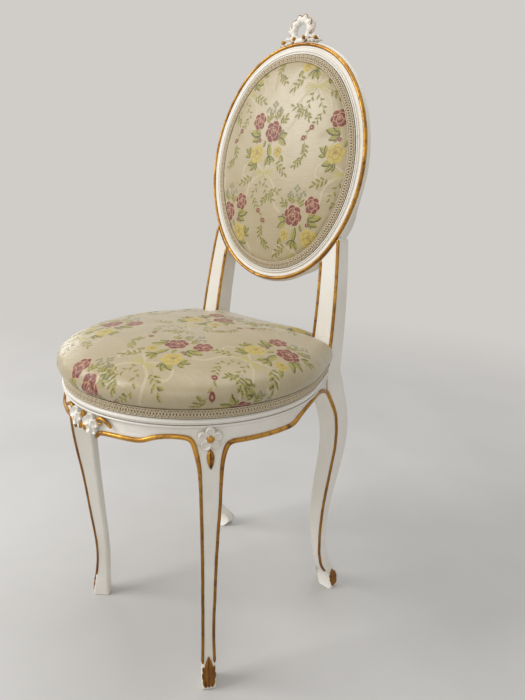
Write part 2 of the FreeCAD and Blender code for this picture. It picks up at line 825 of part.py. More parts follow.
PAD_END_TACKS = [within(BACK, place("0", "0", sign + END_CENTRE, "rotationy(%d * tack_angle)" % step),
                        place("0", "soft_clear", "%s(%s - %s)" % (sign, END_RADIUS, PAD_TACK_INSET),
                              "rotationx(-90)"))
                 for sign in ("", "-") for step in each_way("(90 - oval_joint)", "tack_angle")]


# Carvings, each a blank that is cut to the surface it is glued to
def flower(frame):
    """Five round petals and a boss, on the frame's z axis."""
    body = new_body("flower_shape", frame)
    petals = new_sketch(body, "XY_Plane")
    notches = [("(flower_notch * cos(%d))" % turn, "(flower_notch * sin(%d))" % turn)
               for turn in range(36, 396, 72)]
    tip = ("rise", "(flower_radius - flower_notch * cos(36))")
    draw(petals, notches, {number: tip for number in range(5)})
    doc.recompute()
    pad(body, petals, "flower_sink + flower_proud")
    boss = new_sketch(body, "XY_Plane")
    draw_circles(boss, [("0", "0", "boss_radius")])
    doc.recompute()
    pad(body, boss, "flower_sink + flower_proud + boss_height")
    return body


def twin_leaf(frame):
    """The pointed leaf that stands between the two flowers of the front rail."""
    body = new_body("twin_leaf_shape", frame)
    sketch = new_sketch(body, "XY_Plane")
    corners = [("twin_leaf_half_height", "0"), ("0", "twin_leaf_half_width"),
               ("(-twin_leaf_half_height)", "0"), ("0", "(-twin_leaf_half_width)")]
    draw(sketch, corners, {number: ("rise", "twin_leaf_bow") for number in range(4)})
    doc.recompute()
    pad(body, sketch, "flower_sink + flower_proud")
    return body


def on_rail(turn):
    """A frame on the rail's face at this angle, sunk by a carving's hidden depth, z outwards."""
    return within(SEAT, turned(turn), place("seat_radius - rail_cove - flower_sink", "0",
                                            "seat_height - flower_drop", "rotationy(90)"))


CREST_LINE = "(%s + sqrt((%s + %s)^2 - crest_leaf_half_span^2))" % (END_CENTRE, END_RADIUS, OVAL_LIP)


def crest():
    """A small wreath with an eye, standing on leaves along the top of the oval."""
    body = new_body("crest_shape", BACK)
    face = place("0", "0", "-crest_setback")
    sketch = new_sketch(body, "XZ_Plane", face)
    low = "(%s - crest_sink)" % CREST_LINE
    corners = [("(-crest_leaf_half_span)", low), ("crest_leaf_half_span", low),
               ("crest_leaf_half_span", CREST_LINE), ("(-crest_leaf_half_span)", CREST_LINE)]
    rise = "(%s + %s - %s + crest_leaf_height)" % (HALF_HEIGHT, OVAL_LIP, CREST_LINE)
    draw(sketch, corners, {2: ("rise", rise)})
    doc.recompute()
    pad(body, sketch, "crest_thickness", backwards=True)
    ring = new_sketch(body, "XZ_Plane", face)
    middle = "(%s + %s + crest_half_height - crest_sink)" % (HALF_HEIGHT, OVAL_LIP)
    draw(ring, [("crest_half_width", middle), ("0", "(%s + crest_half_height)" % middle),
                ("(-crest_half_width)", middle), ("0", "(%s - crest_half_height)" % middle)],
         {number: ("rise", "crest_bow") for number in range(4)})
    doc.recompute()
    pad(body, ring, "crest_thickness", backwards=True)
    eye = new_sketch(body, "XZ_Plane", face)
    draw_circles(eye, [("0", "(%s + crest_hole_lift)" % middle, "crest_hole_radius")])
    doc.recompute()
    pocket_through(body, eye)
    return body


# Seat upholstery: every layer follows the rail's plan, moved out or in
def plan_corners(out, rear, corner_out=None):
    """The rail's outline in plan, moved outwards, and closed by a straight line at the rear.

    corner_out moves the rear corners by an amount of their own.
    """
    reach = "(seat_radius + %s)" % out
    tangent = ("(%s * cos(seat_splay))" % reach, "(%s * sin(seat_splay))" % reach)
    corner = "((seat_radius + %s) / cos(seat_splay) - %s * tan(seat_splay))" % (corner_out or out, rear)
    corners = [("0", "(-%s)" % reach), tangent, (corner, rear), ("(-%s)" % corner, rear),
               ("(-%s)" % tangent[0], tangent[1])]
    return corners, {0: ("radius", reach), 4: ("radius", reach)}


def plan_slab(label, out, rear, height, thickness):
    body = new_body(label, SEAT)
    sketch = new_sketch(body, "XY_Plane", place("0", "0", height))
    corners, arcs = plan_corners(out, rear)
    draw(sketch, corners, arcs)
    doc.recompute()
    pad(body, sketch, thickness)
    return body


def plan_loft(label, stations):
    """A cushion through (height, move outwards, move of the rear corners) stations."""
    body = new_body(label, SEAT)
    sketches = []
    for height, out, corner_out in stations:
        sketch = new_sketch(body, "XY_Plane", place("0", "0", height))
        corners, arcs = plan_corners(out, "(%s + %s)" % (REAR_FACE, out), corner_out)
        draw(sketch, corners, arcs)
        sketches.append(sketch)
    doc.recompute()
    loft(body, sketches)
    return body


HEM = "(soft_clear + cloth - tack_setback)"
HEM_TOP = "(seat_height + gimp_width)"
HESSIAN_LEVEL = "(%s + 2 * cloth)" % TACK_TOP
DOME_TURNS = [0, 24, 40, 52, 63, 73, 82]


def dome(turn, reach, rise):
    """A full dome's (way in, way up) at this turn from its widest level, 0, to its crown, 90."""
    way_in = "(%s * (1 - cos(%d)^dome_fullness))" % (reach, turn)
    way_up = "(%s * sin(%d)^dome_fullness)" % (rise, turn)
    return way_in, way_up


def cushion(label, inset, foot, foot_out):
    """The cushion this far inside the cover's outer face: round sides drawn in to a foot, and a dome."""
    bulge = "(cushion_bulge - %s)" % inset
    stations = [(foot, foot_out, foot_out)]
    for turn in DOME_TURNS:
        way_in, way_up = dome(turn, CUSHION_RUN, "(%s - %s - %s)" % (CUSHION_TOP, inset, CUSHION_WAIST))
        stations.append(("(%s + %s)" % (CUSHION_WAIST, way_up), "(%s - %s)" % (bulge, way_in),
                         "(-%s - %s)" % (inset, way_in)))
    return plan_loft(label, stations)


def straps(across, level):
    """Webbing straps side by side, along X where across is true, otherwise along Y."""
    items = []
    for step in each_way("(%s - web_width / 2)" % INNER, "web_pitch"):
        edge = "%d * web_pitch - web_width / 2" % step
        if across:
            corner = within(SEAT, place("-seat_radius", edge, level))
            items.append(box("strap", corner, "2 * seat_radius", "web_width", "cloth"))
        else:
            corner = within(SEAT, place(edge, "-seat_radius", level))
            items.append(box("strap", corner, "web_width", "2 * seat_radius", "cloth"))
    return items


def stile_room():
    """The space that the right stile takes up beside the seat's soft layers."""
    frame = within(BACK, place("%s - soft_clear" % POST_IN, "-soft_clear", STILE_FOOT))
    return box("stile_room", frame, "seat_radius", "seat_radius", HALF_HEIGHT)


# Back upholstery
def back_pad(label, inset, rim, behind):
    """A crowned oval pad this far inside the cover's outer face: a flat rim in the rebate, then a dome."""
    body = new_body(label, BACK)
    front = "(soft_clear + %s)" % inset
    flat = new_sketch(body, "XZ_Plane", place("0", "0", "-" + front))
    draw(flat, *oval_corners(rim))
    doc.recompute()
    pad(body, flat, "%s - %s" % (behind, front), backwards=True)
    sketches = []
    for turn in DOME_TURNS:
        way_in, way_up = dome(turn, PAD_RUN, "(pad_crown + soft_clear)")
        sketch = new_sketch(body, "XZ_Plane", place("0", "0", "%s - %s" % (way_up, front)))
        draw(sketch, *oval_corners("(oval_band + gimp_width + %s + %s)" % (front, way_in)))
        sketches.append(sketch)
    doc.recompute()
    loft(body, sketches)
    return body


def back_straps():
    """Two upright straps and two level ones in front of them, on the frame's deeper rebate."""
    items = []
    for sign in "-+":
        edge = sign + "back_web_out - back_web_width / 2"
        upright = within(BACK, place(edge, "oval_web_rebate - cloth", "-" + HALF_HEIGHT))
        items.append(box("back_strap", upright, "back_web_width", "cloth", "2 * " + HALF_HEIGHT))
        level = within(BACK, place("-oval_half_width", "oval_web_rebate - 2 * cloth", edge))
        items.append(box("back_strap", level, "2 * oval_half_width", "cloth", "back_web_width"))
    return items


# Legs, with their dowel and tack holes
tack_holes = group("front_tack_holes", [tack_hole(frame) for frame in FRONT_TACKS])
leg_holes = [dowel_hole(frame, "dowel_length") for frame in RAIL_JOINTS["front"] + post_joint("")]
leg_holes += [tack_holes]
front_right = keep(cut("front_right_leg", front_leg(), group("front_leg_holes", leg_holes)))
front_left = keep(mirrored("front_left_leg", front_right))
block_holes = [dowel_hole(frame, "dowel_length") for frame in (SIDE_JOINT, REAR_JOINT)]
block_holes += [dowel_hole(frame, "stile_dowel_length") for frame in STILE_JOINTS]
rear_leg_shape = rear_leg()
rear_right = keep(cut("rear_right_leg", rear_leg_shape, group("rear_leg_holes", block_holes)))
rear_left = keep(mirrored("rear_left_leg", rear_right))

# Stiles, cut to the oval above and dowelled at both ends
stile_holes = [dowel_hole(frame, "stile_dowel_length") for frame in STILE_JOINTS + [STILE_HEAD]]
oval_outline = oval_slab("oval_outline", "(-%s)" % OVAL_LIP, "0", "stile_foot_depth")
stile_cuts = fused("stile_cuts", [oval_outline] + stile_holes)
stile_shape = stile_blank()
right_stile = keep(cut("right_stile", stile_shape, stile_cuts))
left_stile = keep(mirrored("left_stile", right_stile))
doc.recompute()

# Rails, scribed to the rear legs and stiles
front_rail_bores = [dowel_hole(frame, "dowel_length") for frame in RAIL_JOINTS["front"]]
front_rail_bores += [screw_hole(FRONT_SCREWS[0], "block_width", "screw_length")]
front_bores = group("front_rail_bores", front_rail_bores)
front_bores_left = mirrored("front_rail_bores_left", front_bores)
front_cuts = group("front_rail_cuts", [front_bores, front_bores_left, tack_holes])
front_rail_node = keep(cut("front_rail", front_rail(), front_cuts))
side_bores = [dowel_hole(frame, "dowel_length") for frame in RAIL_JOINTS["side"]]
side_bores += [screw_hole(FRONT_SCREWS[1], "block_width", "screw_length")]
side_bores += [screw_hole(SIDE_SCREW, "rear_screw_grip", "rear_screw_length")]
corner = fused("rear_corner", [rear_leg_shape, stile_shape])
scribed = cut("side_rail_scribed", side_rail(), corner)
right_rail = keep(cut("right_rail", scribed, group("side_rail_cuts", side_bores + [tack_holes])))
left_rail = keep(mirrored("left_rail", right_rail))
doc.recompute()
rear_bores = [dowel_hole(frame, "dowel_length") for frame in RAIL_JOINTS["rear"]]
rear_bores += [screw_hole(REAR_SCREW, "rear_screw_grip", "rear_screw_length")]
rear_bore_group = group("rear_rail_bores", rear_bores)
rear_tack_holes = group("rear_tack_holes", [tack_hole(frame) for frame in REAR_TACKS])
both_corners = fused("rear_corners", [corner, mirrored("rear_corner_left", corner)])
rear_scribed = cut("rear_rail_scribed", rear_rail(), both_corners)
rear_cuts = group("rear_rail_cuts", [rear_bore_group, mirrored("rear_rail_bores_left", rear_bore_group),
                                     rear_tack_holes])
keep(cut("rear_rail", rear_scribed, rear_cuts))

# Oval frame
side_holes = group("oval_side_holes", [dowel_hole(frame, "dowel_length") for frame in OVAL_JOINTS]
                   + [dowel_hole(STILE_HEAD, "stile_dowel_length")]
                   + [tack_hole(frame) for frame in PAD_SIDE_TACKS])
right_oval = keep(cut("back_oval_right", oval_side(), side_holes))
keep(mirrored("back_oval_left", right_oval))
joint_holes = group("oval_joint_holes", [dowel_hole(frame, "dowel_length") for frame in OVAL_JOINTS]
                    + [dowel_hole(STILE_HEAD, "stile_dowel_length")])
end_cuts = group("oval_end_cuts", [joint_holes, mirrored("oval_joint_holes_left", joint_holes)]
                 + [tack_hole(frame) for frame in PAD_END_TACKS])
oval_top = keep(cut("back_oval_top", oval_end("oval_top_shape", ""), end_cuts))
keep(cut("back_oval_bottom", oval_end("oval_bottom_shape", "-"), end_cuts))
doc.recompute()

# Dowels, screws and corner blocks
right_dowels = group("right_rail_dowels", [dowel(frame, "dowel_length")
                                           for frames in RAIL_JOINTS.values() for frame in frames])
keep(group("rail_dowels", [right_dowels, mirrored("left_rail_dowels", right_dowels)]))
right_pegs = group("right_stile_dowels", [dowel(frame, "stile_dowel_length")
                                          for frame in STILE_JOINTS + [STILE_HEAD]])
keep(group("stile_dowels", [right_pegs, mirrored("left_stile_dowels", right_pegs)]))
oval_pegs = group("right_oval_dowels", [dowel(frame, "dowel_length") for frame in OVAL_JOINTS])
keep(group("oval_dowels", [oval_pegs, mirrored("left_oval_dowels", oval_pegs)]))
screws = [screw(frame, "block_width", "screw_length") for frame in FRONT_SCREWS]
screws += [screw(frame, "rear_screw_grip", "rear_screw_length") for frame in (REAR_SCREW, SIDE_SCREW)]
right_screws = group("right_screws", screws)
keep(group("corner_block_screws", [right_screws, mirrored("left_screws", right_screws)]))
front_block_holes = group("front_block_holes", [screw_hole(frame, "block_width", "screw_length")
                                                for frame in FRONT_SCREWS])
front_block_node = keep(cut("front_right_corner_block", front_block(), front_block_holes))
keep(mirrored("front_left_corner_block", front_block_node))
rear_block_holes = group("rear_block_holes", [screw_hole(frame, "rear_screw_grip", "rear_screw_length")
                                              for frame in (REAR_SCREW, SIDE_SCREW)])
rear_block_node = keep(cut("rear_right_corner_block", rear_block(), rear_block_holes))
keep(mirrored("rear_left_corner_block", rear_block_node))
doc.recompute()

# Carvings
right_flower = keep(cut("right_knee_flower", flower(on_rail("-front_leg_angle")), front_right))
keep(mirrored("left_knee_flower", right_flower))
twins = [flower(on_rail("-90 %s twin_flower_angle" % sign)) for sign in "-+"]
rail_group = fused("front_rail_carving_shape", twins + [twin_leaf(on_rail("-90"))])
keep(cut("front_rail_carving", rail_group, front_rail_node))
keep(cut("crest_carving", crest(), oval_top))
doc.recompute()

# Seat, from the dust cover up
room = stile_room()
rooms = fused("stile_rooms", [room, mirrored("stile_room_left", room)])
keep(plan_slab("dust_cover", "(-rail_width - soft_clear)", "(post_front - soft_clear)",
               "(%s + block_rise - soft_clear - cloth)" % RAIL_FOOT, "cloth"))
web_edge = "(-tack_setback - web_margin)"
web_plan = plan_slab("web_plan", web_edge, "(%s + %s)" % (REAR_FACE, web_edge), TACK_TOP, "2 * cloth")
web_room = cut("web_room", web_plan, rooms)
keep(common("seat_webbing_across", group("straps_across", straps(True, TACK_TOP)), web_room))
keep(common("seat_webbing_lengthwise",
            group("straps_lengthwise", straps(False, "(%s + cloth)" % TACK_TOP)), web_room))
tack_edge = "(-tack_setback)"
hessian = plan_slab("hessian_shape", tack_edge, "(%s + %s)" % (REAR_FACE, tack_edge), HESSIAN_LEVEL, "cloth")
keep(cut("seat_hessian", hessian, rooms))
stuffing_foot = "(%s + cloth + soft_clear)" % HESSIAN_LEVEL
stuffing = cushion("stuffing_shape", "(cloth + soft_clear)", stuffing_foot, "(-stuffing_foot_in)")
keep(cut("seat_stuffing", stuffing, rooms))
cover_outside = cushion("cover_outside", "0", HEM_TOP, HEM)
cover_inside = cushion("cover_inside", "cloth", HEM_TOP, "(%s - cloth)" % HEM)
skirt_foot = "(seat_height + soft_clear)"
skirt_height = "(gimp_width - soft_clear)"
skirt = plan_slab("skirt_outside", HEM, "(%s + %s)" % (REAR_FACE, HEM), skirt_foot, skirt_height)
bare = "(%s - cloth)" % HEM
skirt_bore = plan_slab("skirt_inside", bare, "(%s + %s)" % (REAR_FACE, bare), skirt_foot, skirt_height)
cover_solid = fused("cover_solid", [cover_outside, skirt])
cover_hollow = fused("cover_hollow", [cover_inside, skirt_bore, rooms])
cover_shell = cut("cover_shell", cover_solid, cover_hollow)
keep(cut("seat_cover", cover_shell, group("cover_tack_holes", [tack_holes, rear_tack_holes])))
gimp_in = "(%s + tack_head + 2 * soft_clear)" % HEM
gimp_out = "(%s + gimp_thickness)" % gimp_in
gimp_outer = plan_slab("gimp_outside", gimp_out, "(%s + %s)" % (REAR_FACE, gimp_out), skirt_foot, skirt_height)
gimp_inner = plan_slab("gimp_inside", gimp_in, "(%s + %s)" % (REAR_FACE, gimp_in), skirt_foot, skirt_height)
keep(cut("seat_gimp", gimp_outer, fused("gimp_cuts", [gimp_inner, rooms])))
keep(group("seat_tacks", [tack(frame) for frame in FRONT_TACKS + REAR_TACKS]))
doc.recompute()

# Back, from the outside cover to the front
rim = "(oval_band + pad_rim + soft_clear)"
strap_plan = oval_slab("back_strap_plan", rim, "oval_web_rebate - 2 * cloth", "2 * cloth")
keep(common("back_webbing", group("back_straps", back_straps()), strap_plan))
hessian_front = "(oval_web_rebate - 3 * cloth)"
keep(oval_slab("back_hessian", rim, hessian_front, "cloth"))
keep(back_pad("back_stuffing", "(cloth + soft_clear)", rim, "(%s - soft_clear)" % hessian_front))
rim_foot = "(oval_rebate - soft_clear)"
pad_outside = back_pad("pad_outside", "0", "(oval_band + soft_clear)", rim_foot)
pad_inside = back_pad("pad_inside", "cloth", "(oval_band + pad_rim)", rim_foot)
right_pad_tacks = group("right_pad_tack_holes", [tack_hole(frame) for frame in PAD_SIDE_TACKS])
pad_tack_holes = group("pad_tack_holes", [right_pad_tacks, mirrored("left_pad_tack_holes", right_pad_tacks)]
                       + [tack_hole(frame) for frame in PAD_END_TACKS])
pad_shell = cut("pad_shell", pad_outside, pad_inside)
keep(cut("back_cover", pad_shell, pad_tack_holes))
braid_front = "(-tack_head - gimp_thickness)"
pad_gimp = oval_slab("pad_gimp_outside", "(oval_band + soft_clear)", braid_front, "gimp_thickness")
pad_gimp_hole = oval_slab("pad_gimp_inside", "(oval_band + gimp_width)", braid_front, "gimp_thickness")
keep(cut("back_gimp", pad_gimp, pad_gimp_hole))
right_back_tacks = group("right_back_tacks", [tack(frame) for frame in PAD_SIDE_TACKS])
keep(group("back_tacks", [right_back_tacks, mirrored("left_back_tacks", right_back_tacks)]
           + [tack(frame) for frame in PAD_END_TACKS]))
outside_inset = "(oval_band - oval_back_rebate + soft_clear)"
outside_front = "(oval_depth - oval_back_rebate + soft_clear)"
keep(oval_slab("outside_back_cover", outside_inset, outside_front, "outside_back_thickness"))
gimp_front = "(%s + outside_back_thickness + soft_clear)" % outside_front
outer_gimp = oval_slab("outside_gimp_outside", outside_inset, gimp_front, "gimp_thickness")
outside_gimp_inset = "(%s + gimp_width)" % outside_inset
outer_gimp_hole = oval_slab("outside_gimp_inside", outside_gimp_inset, gimp_front, "gimp_thickness")
keep(cut("outside_back_gimp", outer_gimp, outer_gimp_hole))
doc.recompute()

# Checks, then one file for each piece
for item in doc.Objects:
    if "Invalid" in item.State or "Error" in item.State:
        raise RuntimeError("%s is not up to date: %s" % (item.Label, item.State))
os.makedirs("parts", exist_ok=True)
for label, item in NODES.items():
    shape = item.Shape
    if shape.isNull() or not shape.isValid() or not shape.Solids:
        raise RuntimeError("%s has no sound solid" % label)
    shape.exportStep("parts/%s.step" % label)
    print(label, len(shape.Solids), "solids", round(shape.Volume / 1000, 2), "cm3")
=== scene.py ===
# %% [markdown]
# This lesson dresses a white and gilt side chair with an oval padded back. The wooden frame comes
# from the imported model, which is never moved or changed. Gilt beads, carving, braid and stuffed
# cushions are laid round it, each worked out with numpy and placed in the same frame, in metres.

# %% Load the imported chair
import json

import bpy
import numpy as np
from mathutils import Matrix


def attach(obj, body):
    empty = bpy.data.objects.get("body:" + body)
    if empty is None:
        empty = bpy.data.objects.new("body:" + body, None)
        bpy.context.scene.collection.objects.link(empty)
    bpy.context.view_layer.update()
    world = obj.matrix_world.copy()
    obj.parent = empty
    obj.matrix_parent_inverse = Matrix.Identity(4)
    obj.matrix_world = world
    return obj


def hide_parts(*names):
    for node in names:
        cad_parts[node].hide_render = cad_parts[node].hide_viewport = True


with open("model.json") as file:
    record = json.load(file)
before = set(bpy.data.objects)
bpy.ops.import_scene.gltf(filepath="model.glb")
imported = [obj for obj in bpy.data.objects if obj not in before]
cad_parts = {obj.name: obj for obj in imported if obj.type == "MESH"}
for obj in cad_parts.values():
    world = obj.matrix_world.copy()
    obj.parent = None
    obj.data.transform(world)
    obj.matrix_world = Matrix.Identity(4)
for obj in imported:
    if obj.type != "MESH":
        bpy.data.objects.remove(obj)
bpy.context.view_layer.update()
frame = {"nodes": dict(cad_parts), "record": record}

# %% [markdown]
# The chair's main sizes are repeated here, so that each new piece sits exactly where the frame has
# room for it. The seat's plan is a circle that runs straight back to the rear posts, and the back
# is an oval of four arcs in a leaning plane.

# %% Sizes and frames
MM = 0.001
SEAT_SHIFT = 17.95 * MM
SEAT_HEIGHT = 425 * MM
SEAT_RADIUS = 190 * MM
SEAT_SPLAY = np.radians(22.7)
LEG_ANGLE = np.radians(36)
POST_HALF_ANGLE = np.radians(6.6)
RAIL_FOOT = 391 * MM
POST_FRONT = 141 * MM
REAR_FACE = 167 * MM
POST_IN = 108 * MM
POST_OUT = 147 * MM
BACK_TILT = np.radians(8.3)
OVAL_HEIGHT = 728 * MM
OVAL_HALF_WIDTH = 154 * MM
OVAL_HALF_HEIGHT = 181 * MM
OVAL_JOINT = np.radians(37.7)
OVAL_SPREAD = (OVAL_HALF_HEIGHT - OVAL_HALF_WIDTH) / (np.cos(OVAL_JOINT) + np.sin(OVAL_JOINT) - 1)
SIDE_CENTRE = OVAL_SPREAD * np.cos(OVAL_JOINT)
END_CENTRE = OVAL_SPREAD * np.sin(OVAL_JOINT)
SIDE_RADIUS = OVAL_HALF_WIDTH + SIDE_CENTRE
END_RADIUS = OVAL_HALF_HEIGHT - END_CENTRE
OVAL_BAND = 15.5 * MM
STILE_FOOT = (SEAT_HEIGHT - OVAL_HEIGHT) / np.cos(BACK_TILT)
BACK_ORIGIN = np.array([0, POST_FRONT + (OVAL_HEIGHT - SEAT_HEIGHT) * np.tan(BACK_TILT) - SEAT_SHIFT,
                        OVAL_HEIGHT])
BACK_AXES = np.array([[1, 0, 0],
                      [0, np.cos(BACK_TILT), -np.sin(BACK_TILT)],
                      [0, np.sin(BACK_TILT), np.cos(BACK_TILT)]])


def on_back(across, behind, up):
    """A point of the leaning back: so far to the right, behind the front face, and up the plane."""
    parts = np.stack(np.broadcast_arrays(across, behind, up), -1).astype(float)
    return BACK_ORIGIN + parts @ BACK_AXES


def on_seat(across, back, up):
    """A point measured from the middle of the seat's circle, on the floor below it."""
    across, back, up = np.broadcast_arrays(across, back, up)
    return np.stack([across, back - SEAT_SHIFT, up], -1).astype(float)


def unit(vectors):
    """Each vector divided by its own length."""
    return vectors / np.linalg.norm(vectors, axis=-1, keepdims=True)


print("The back's middle is at", np.round(BACK_ORIGIN, 3))

# %% [markdown]
# Every new piece goes through the same few steps: points on a grid, quads between neighbours, and
# a fan of triangles where the ends close. A loft of closed loops makes beads, leaves, petals and
# berries alike, so one function can make them all.

# %% Meshes from grids
def grid_faces(rows, columns, wrap=False):
    """Quads between neighbouring points of a grid; with wrap, the last column meets the first."""
    width = columns if wrap else columns - 1
    row, column = np.meshgrid(np.arange(rows - 1), np.arange(width), indexing="ij")
    after = (column + 1) % columns
    corners = [row * columns + column, row * columns + after, (row + 1) * columns + after,
               (row + 1) * columns + column]
    return np.stack(corners, -1).reshape(-1, 4)


def loft(loops):
    """A closed skin over loops of points, rows of a grid: quads between loops, and a fan on each end."""
    rows, columns = loops.shape[:2]
    points = np.concatenate([loops.reshape(-1, 3), loops[[0, -1]].mean(1)])
    quads = grid_faces(rows, columns, wrap=True)
    ring = np.arange(columns)
    after = (ring + 1) % columns
    first = np.full(columns, rows * columns)
    start = np.stack([after, ring, first], -1)
    last = (rows - 1) * columns
    end = np.stack([last + ring, last + after, first + 1], -1)
    return points, [quads, np.concatenate([start, end])]


def merged(shells):
    """Several (points, faces) shells as one."""
    points = []
    quads = []
    triangles = []
    count = 0
    for shell_points, shell_faces in shells:
        points.append(shell_points)
        for faces in shell_faces:
            (quads if faces.shape[1] == 4 else triangles).append(faces + count)
        count += len(shell_points)
    return np.concatenate(points), [np.concatenate(group) for group in (quads, triangles) if group]


print("A grid of 4 by 5 points has", len(grid_faces(4, 5)), "quads")

# %% [markdown]
# One object is made of one or more closed shells. The volume inside a shell tells whether its faces
# point outwards, so that each shell can be turned the right way round. The object then gets its
# finish, rides on the chair's only body, and hides the imported pieces that it stands for.

# %% Pieces of the chair
def volume(points, faces):
    """Six times the volume inside the faces: positive where they point outwards."""
    total = 0.0
    for group in faces:
        for second in range(1, group.shape[1] - 1):
            a, b, c = (points[group[:, corner]] for corner in (0, second, second + 1))
            total += np.einsum("ij,ij->", a, np.cross(b, c))
    return total


def outward(shell):
    """The shell with its faces turned to point out of it."""
    points, faces = shell
    centred = points - points.mean(0)
    return points, faces if volume(centred, faces) > 0 else [group[:, ::-1] for group in faces]


def mesh_of(name, points, faces):
    """A smooth-shaded mesh of points and groups of faces."""
    mesh = bpy.data.meshes.new(name)
    mesh.from_pydata(points.tolist(), [], [face for group in faces for face in group.tolist()])
    mesh.polygons.foreach_set("use_smooth", np.ones(len(mesh.polygons), bool))
    return mesh


def piece(name, shells, material, replaced=(), crease=40):
    """One object of the chair, from closed shells, riding on the frame."""
    points, faces = merged([outward(shell) for shell in shells])
    mesh = mesh_of(name, points, faces)
    mesh.set_sharp_from_angle(angle=np.radians(crease))
    mesh.materials.append(material)
    item = bpy.data.objects.new(name, mesh)
    bpy.context.scene.collection.objects.link(item)
    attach(item, "root")
    if replaced:
        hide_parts(*replaced)
    print(name, len(points), "points,", sum(map(len, faces)), "faces")
    return item


def mirrored(shell):
    """The shell on the other side of the chair."""
    points, faces = shell
    return points * [-1, 1, 1], faces


print("Each new piece is an object of closed shells that rides on the frame")

# %% [markdown]
# Materials come next. Each is a small tree of nodes on Object coordinates, so that the grain of a
# finish keeps its true size on every piece. A short helper adds nodes and joins them.

# %% Node helper
class Finish:
    """A material with one Principled shader, and short ways to add and join nodes."""

    def __init__(self, name, **sockets):
        self.material = bpy.data.materials.new(name)
        self.material.use_nodes = True
        self.tree = self.material.node_tree
        self.shader = self.tree.nodes["Principled BSDF"]
        for socket, setting in sockets.items():
            self.shader.inputs[socket.replace("_", " ")].default_value = setting
        self.place = self.add("ShaderNodeTexCoord").outputs["Object"]

    def add(self, kind, inputs=None, **settings):
        """A new node, with its settings made and its inputs joined."""
        node = self.tree.nodes.new(kind)
        for name, setting in settings.items():
            setattr(node, name, setting)
        for name, source in (inputs or {}).items():
            self.join(source, node.inputs[name])
        return node

    def join(self, source, socket):
        """Link an output to a socket, or set the socket where the source is a plain value."""
        if isinstance(source, bpy.types.NodeSocket):
            self.tree.links.new(source, socket)
        else:
            socket.default_value = source

    def noise(self, scale, detail=3, roughness=0.5, place=None):
        """Soft random patches, so many a metre, as a value from 0 to 1."""
        inputs = {"Vector": place or self.place, "Scale": scale, "Detail": detail, "Roughness": roughness}
        return self.add("ShaderNodeTexNoise", inputs).outputs["Fac"]

    def remap(self, source, low, high, to_low=0.0, to_high=1.0, smooth=False):
        """A value carried from one range to another, and held inside it."""
        inputs = {"Value": source, "From Min": low, "From Max": high, "To Min": to_low, "To Max": to_high}
        kind = "SMOOTHSTEP" if smooth else "LINEAR"
        return self.add("ShaderNodeMapRange", inputs, interpolation_type=kind).outputs["Result"]

    def math(self, operation, first, second=0.0):
        """One sum of two values."""
        return self.add("ShaderNodeMath", {0: first, 1: second}, operation=operation).outputs[0]

    def mix(self, share, first, second):
        """A colour so far on the way from the first to the second."""
        return self.add("ShaderNodeMix", {0: share, 6: first, 7: second}, data_type="RGBA").outputs[2]

    def attribute(self, name):
        """A value stored on the points of a mesh."""
        return self.add("ShaderNodeAttribute", attribute_name=name).outputs["Fac"]

    def bump(self, height, distance, strength):
        """Shallow relief from a height, in metres."""
        inputs = {"Height": height, "Distance": distance, "Strength": strength}
        return self.add("ShaderNodeBump", inputs).outputs["Normal"]

    def shade(self, **sources):
        """Join sources to the shader's sockets, named with _ for a space."""
        for socket, source in sources.items():
            self.join(source, self.shader.inputs[socket.replace("_", " ")])
        return self.material


def colour(red, green, blue):
    """A colour as it looks on a screen, 0 to 255, made linear as the shader wants it."""
    share = np.array([red, green, blue]) / 255
    linear = np.where(share <= 0.04045, share / 12.92, ((share + 0.055) / 1.055) ** 2.4)
    return (*linear.tolist(), 1.0)


print("A middle grey on the screen is", np.round(colour(128, 128, 128), 3), "to the shader")

# %% [markdown]
# The frame is beech under old white paint. Brushed paint is never one white: it yellows in patches,
# shows faint brush lines along the wood, and has hair cracks and small chips where the brown wood
# shows. An Ambient Occlusion node greys the hollows: partly dust, partly painted shade in the creases.

# %% White paint
paint = Finish("white_paint", IOR=1.5)
patches = paint.noise(9, detail=4)
clean = paint.mix(paint.remap(patches, 0.35, 0.7), colour(237, 233, 224), colour(226, 219, 205))
strokes = paint.add("ShaderNodeMapping", {"Vector": paint.place, "Scale": (150, 150, 30)}).outputs[0]
stroke = paint.noise(1, detail=2, place=strokes)
brushed = paint.mix(paint.remap(stroke, 0.45, 0.75, 0, 0.1), clean, colour(205, 200, 190))
cells = paint.add("ShaderNodeTexVoronoi", {"Vector": paint.place, "Scale": 55.0},
                  feature="DISTANCE_TO_EDGE")
crack_line = paint.remap(cells.outputs["Distance"], 0.0, 0.012, 1, 0)
cracks = paint.math("MULTIPLY", crack_line, paint.remap(paint.noise(14), 0.6, 0.72))
cracked = paint.mix(paint.math("MULTIPLY", cracks, 0.45), brushed, colour(150, 138, 120))
chips = paint.remap(paint.noise(42, detail=5, roughness=0.62), 0.8, 0.815)
chipped = paint.mix(chips, cracked, colour(122, 92, 62))
# Painted shade with some dust: the occlusion greys the paint in creases and hollows, where shade falls.
hollow = paint.add("ShaderNodeAmbientOcclusion", {"Distance": 4 * MM}, samples=8).outputs["AO"]
dust = paint.math("MULTIPLY", paint.remap(hollow, 0.4, 0.9, 0.48, 0),
                  paint.remap(patches, 0.3, 0.7, 0.7, 1.0))
dusty_and_shaded = paint.mix(dust, chipped, colour(148, 140, 126))
relief = paint.math("SUBTRACT", paint.math("MULTIPLY", stroke, 0.12), paint.math("ADD", cracks, chips))
white_paint = paint.shade(Base_Color=dusty_and_shaded, Roughness=paint.remap(patches, 0.3, 0.7, 0.3, 0.46),
                          Normal=paint.bump(relief, 0.00025, 0.7))
print("Made", white_paint.name)
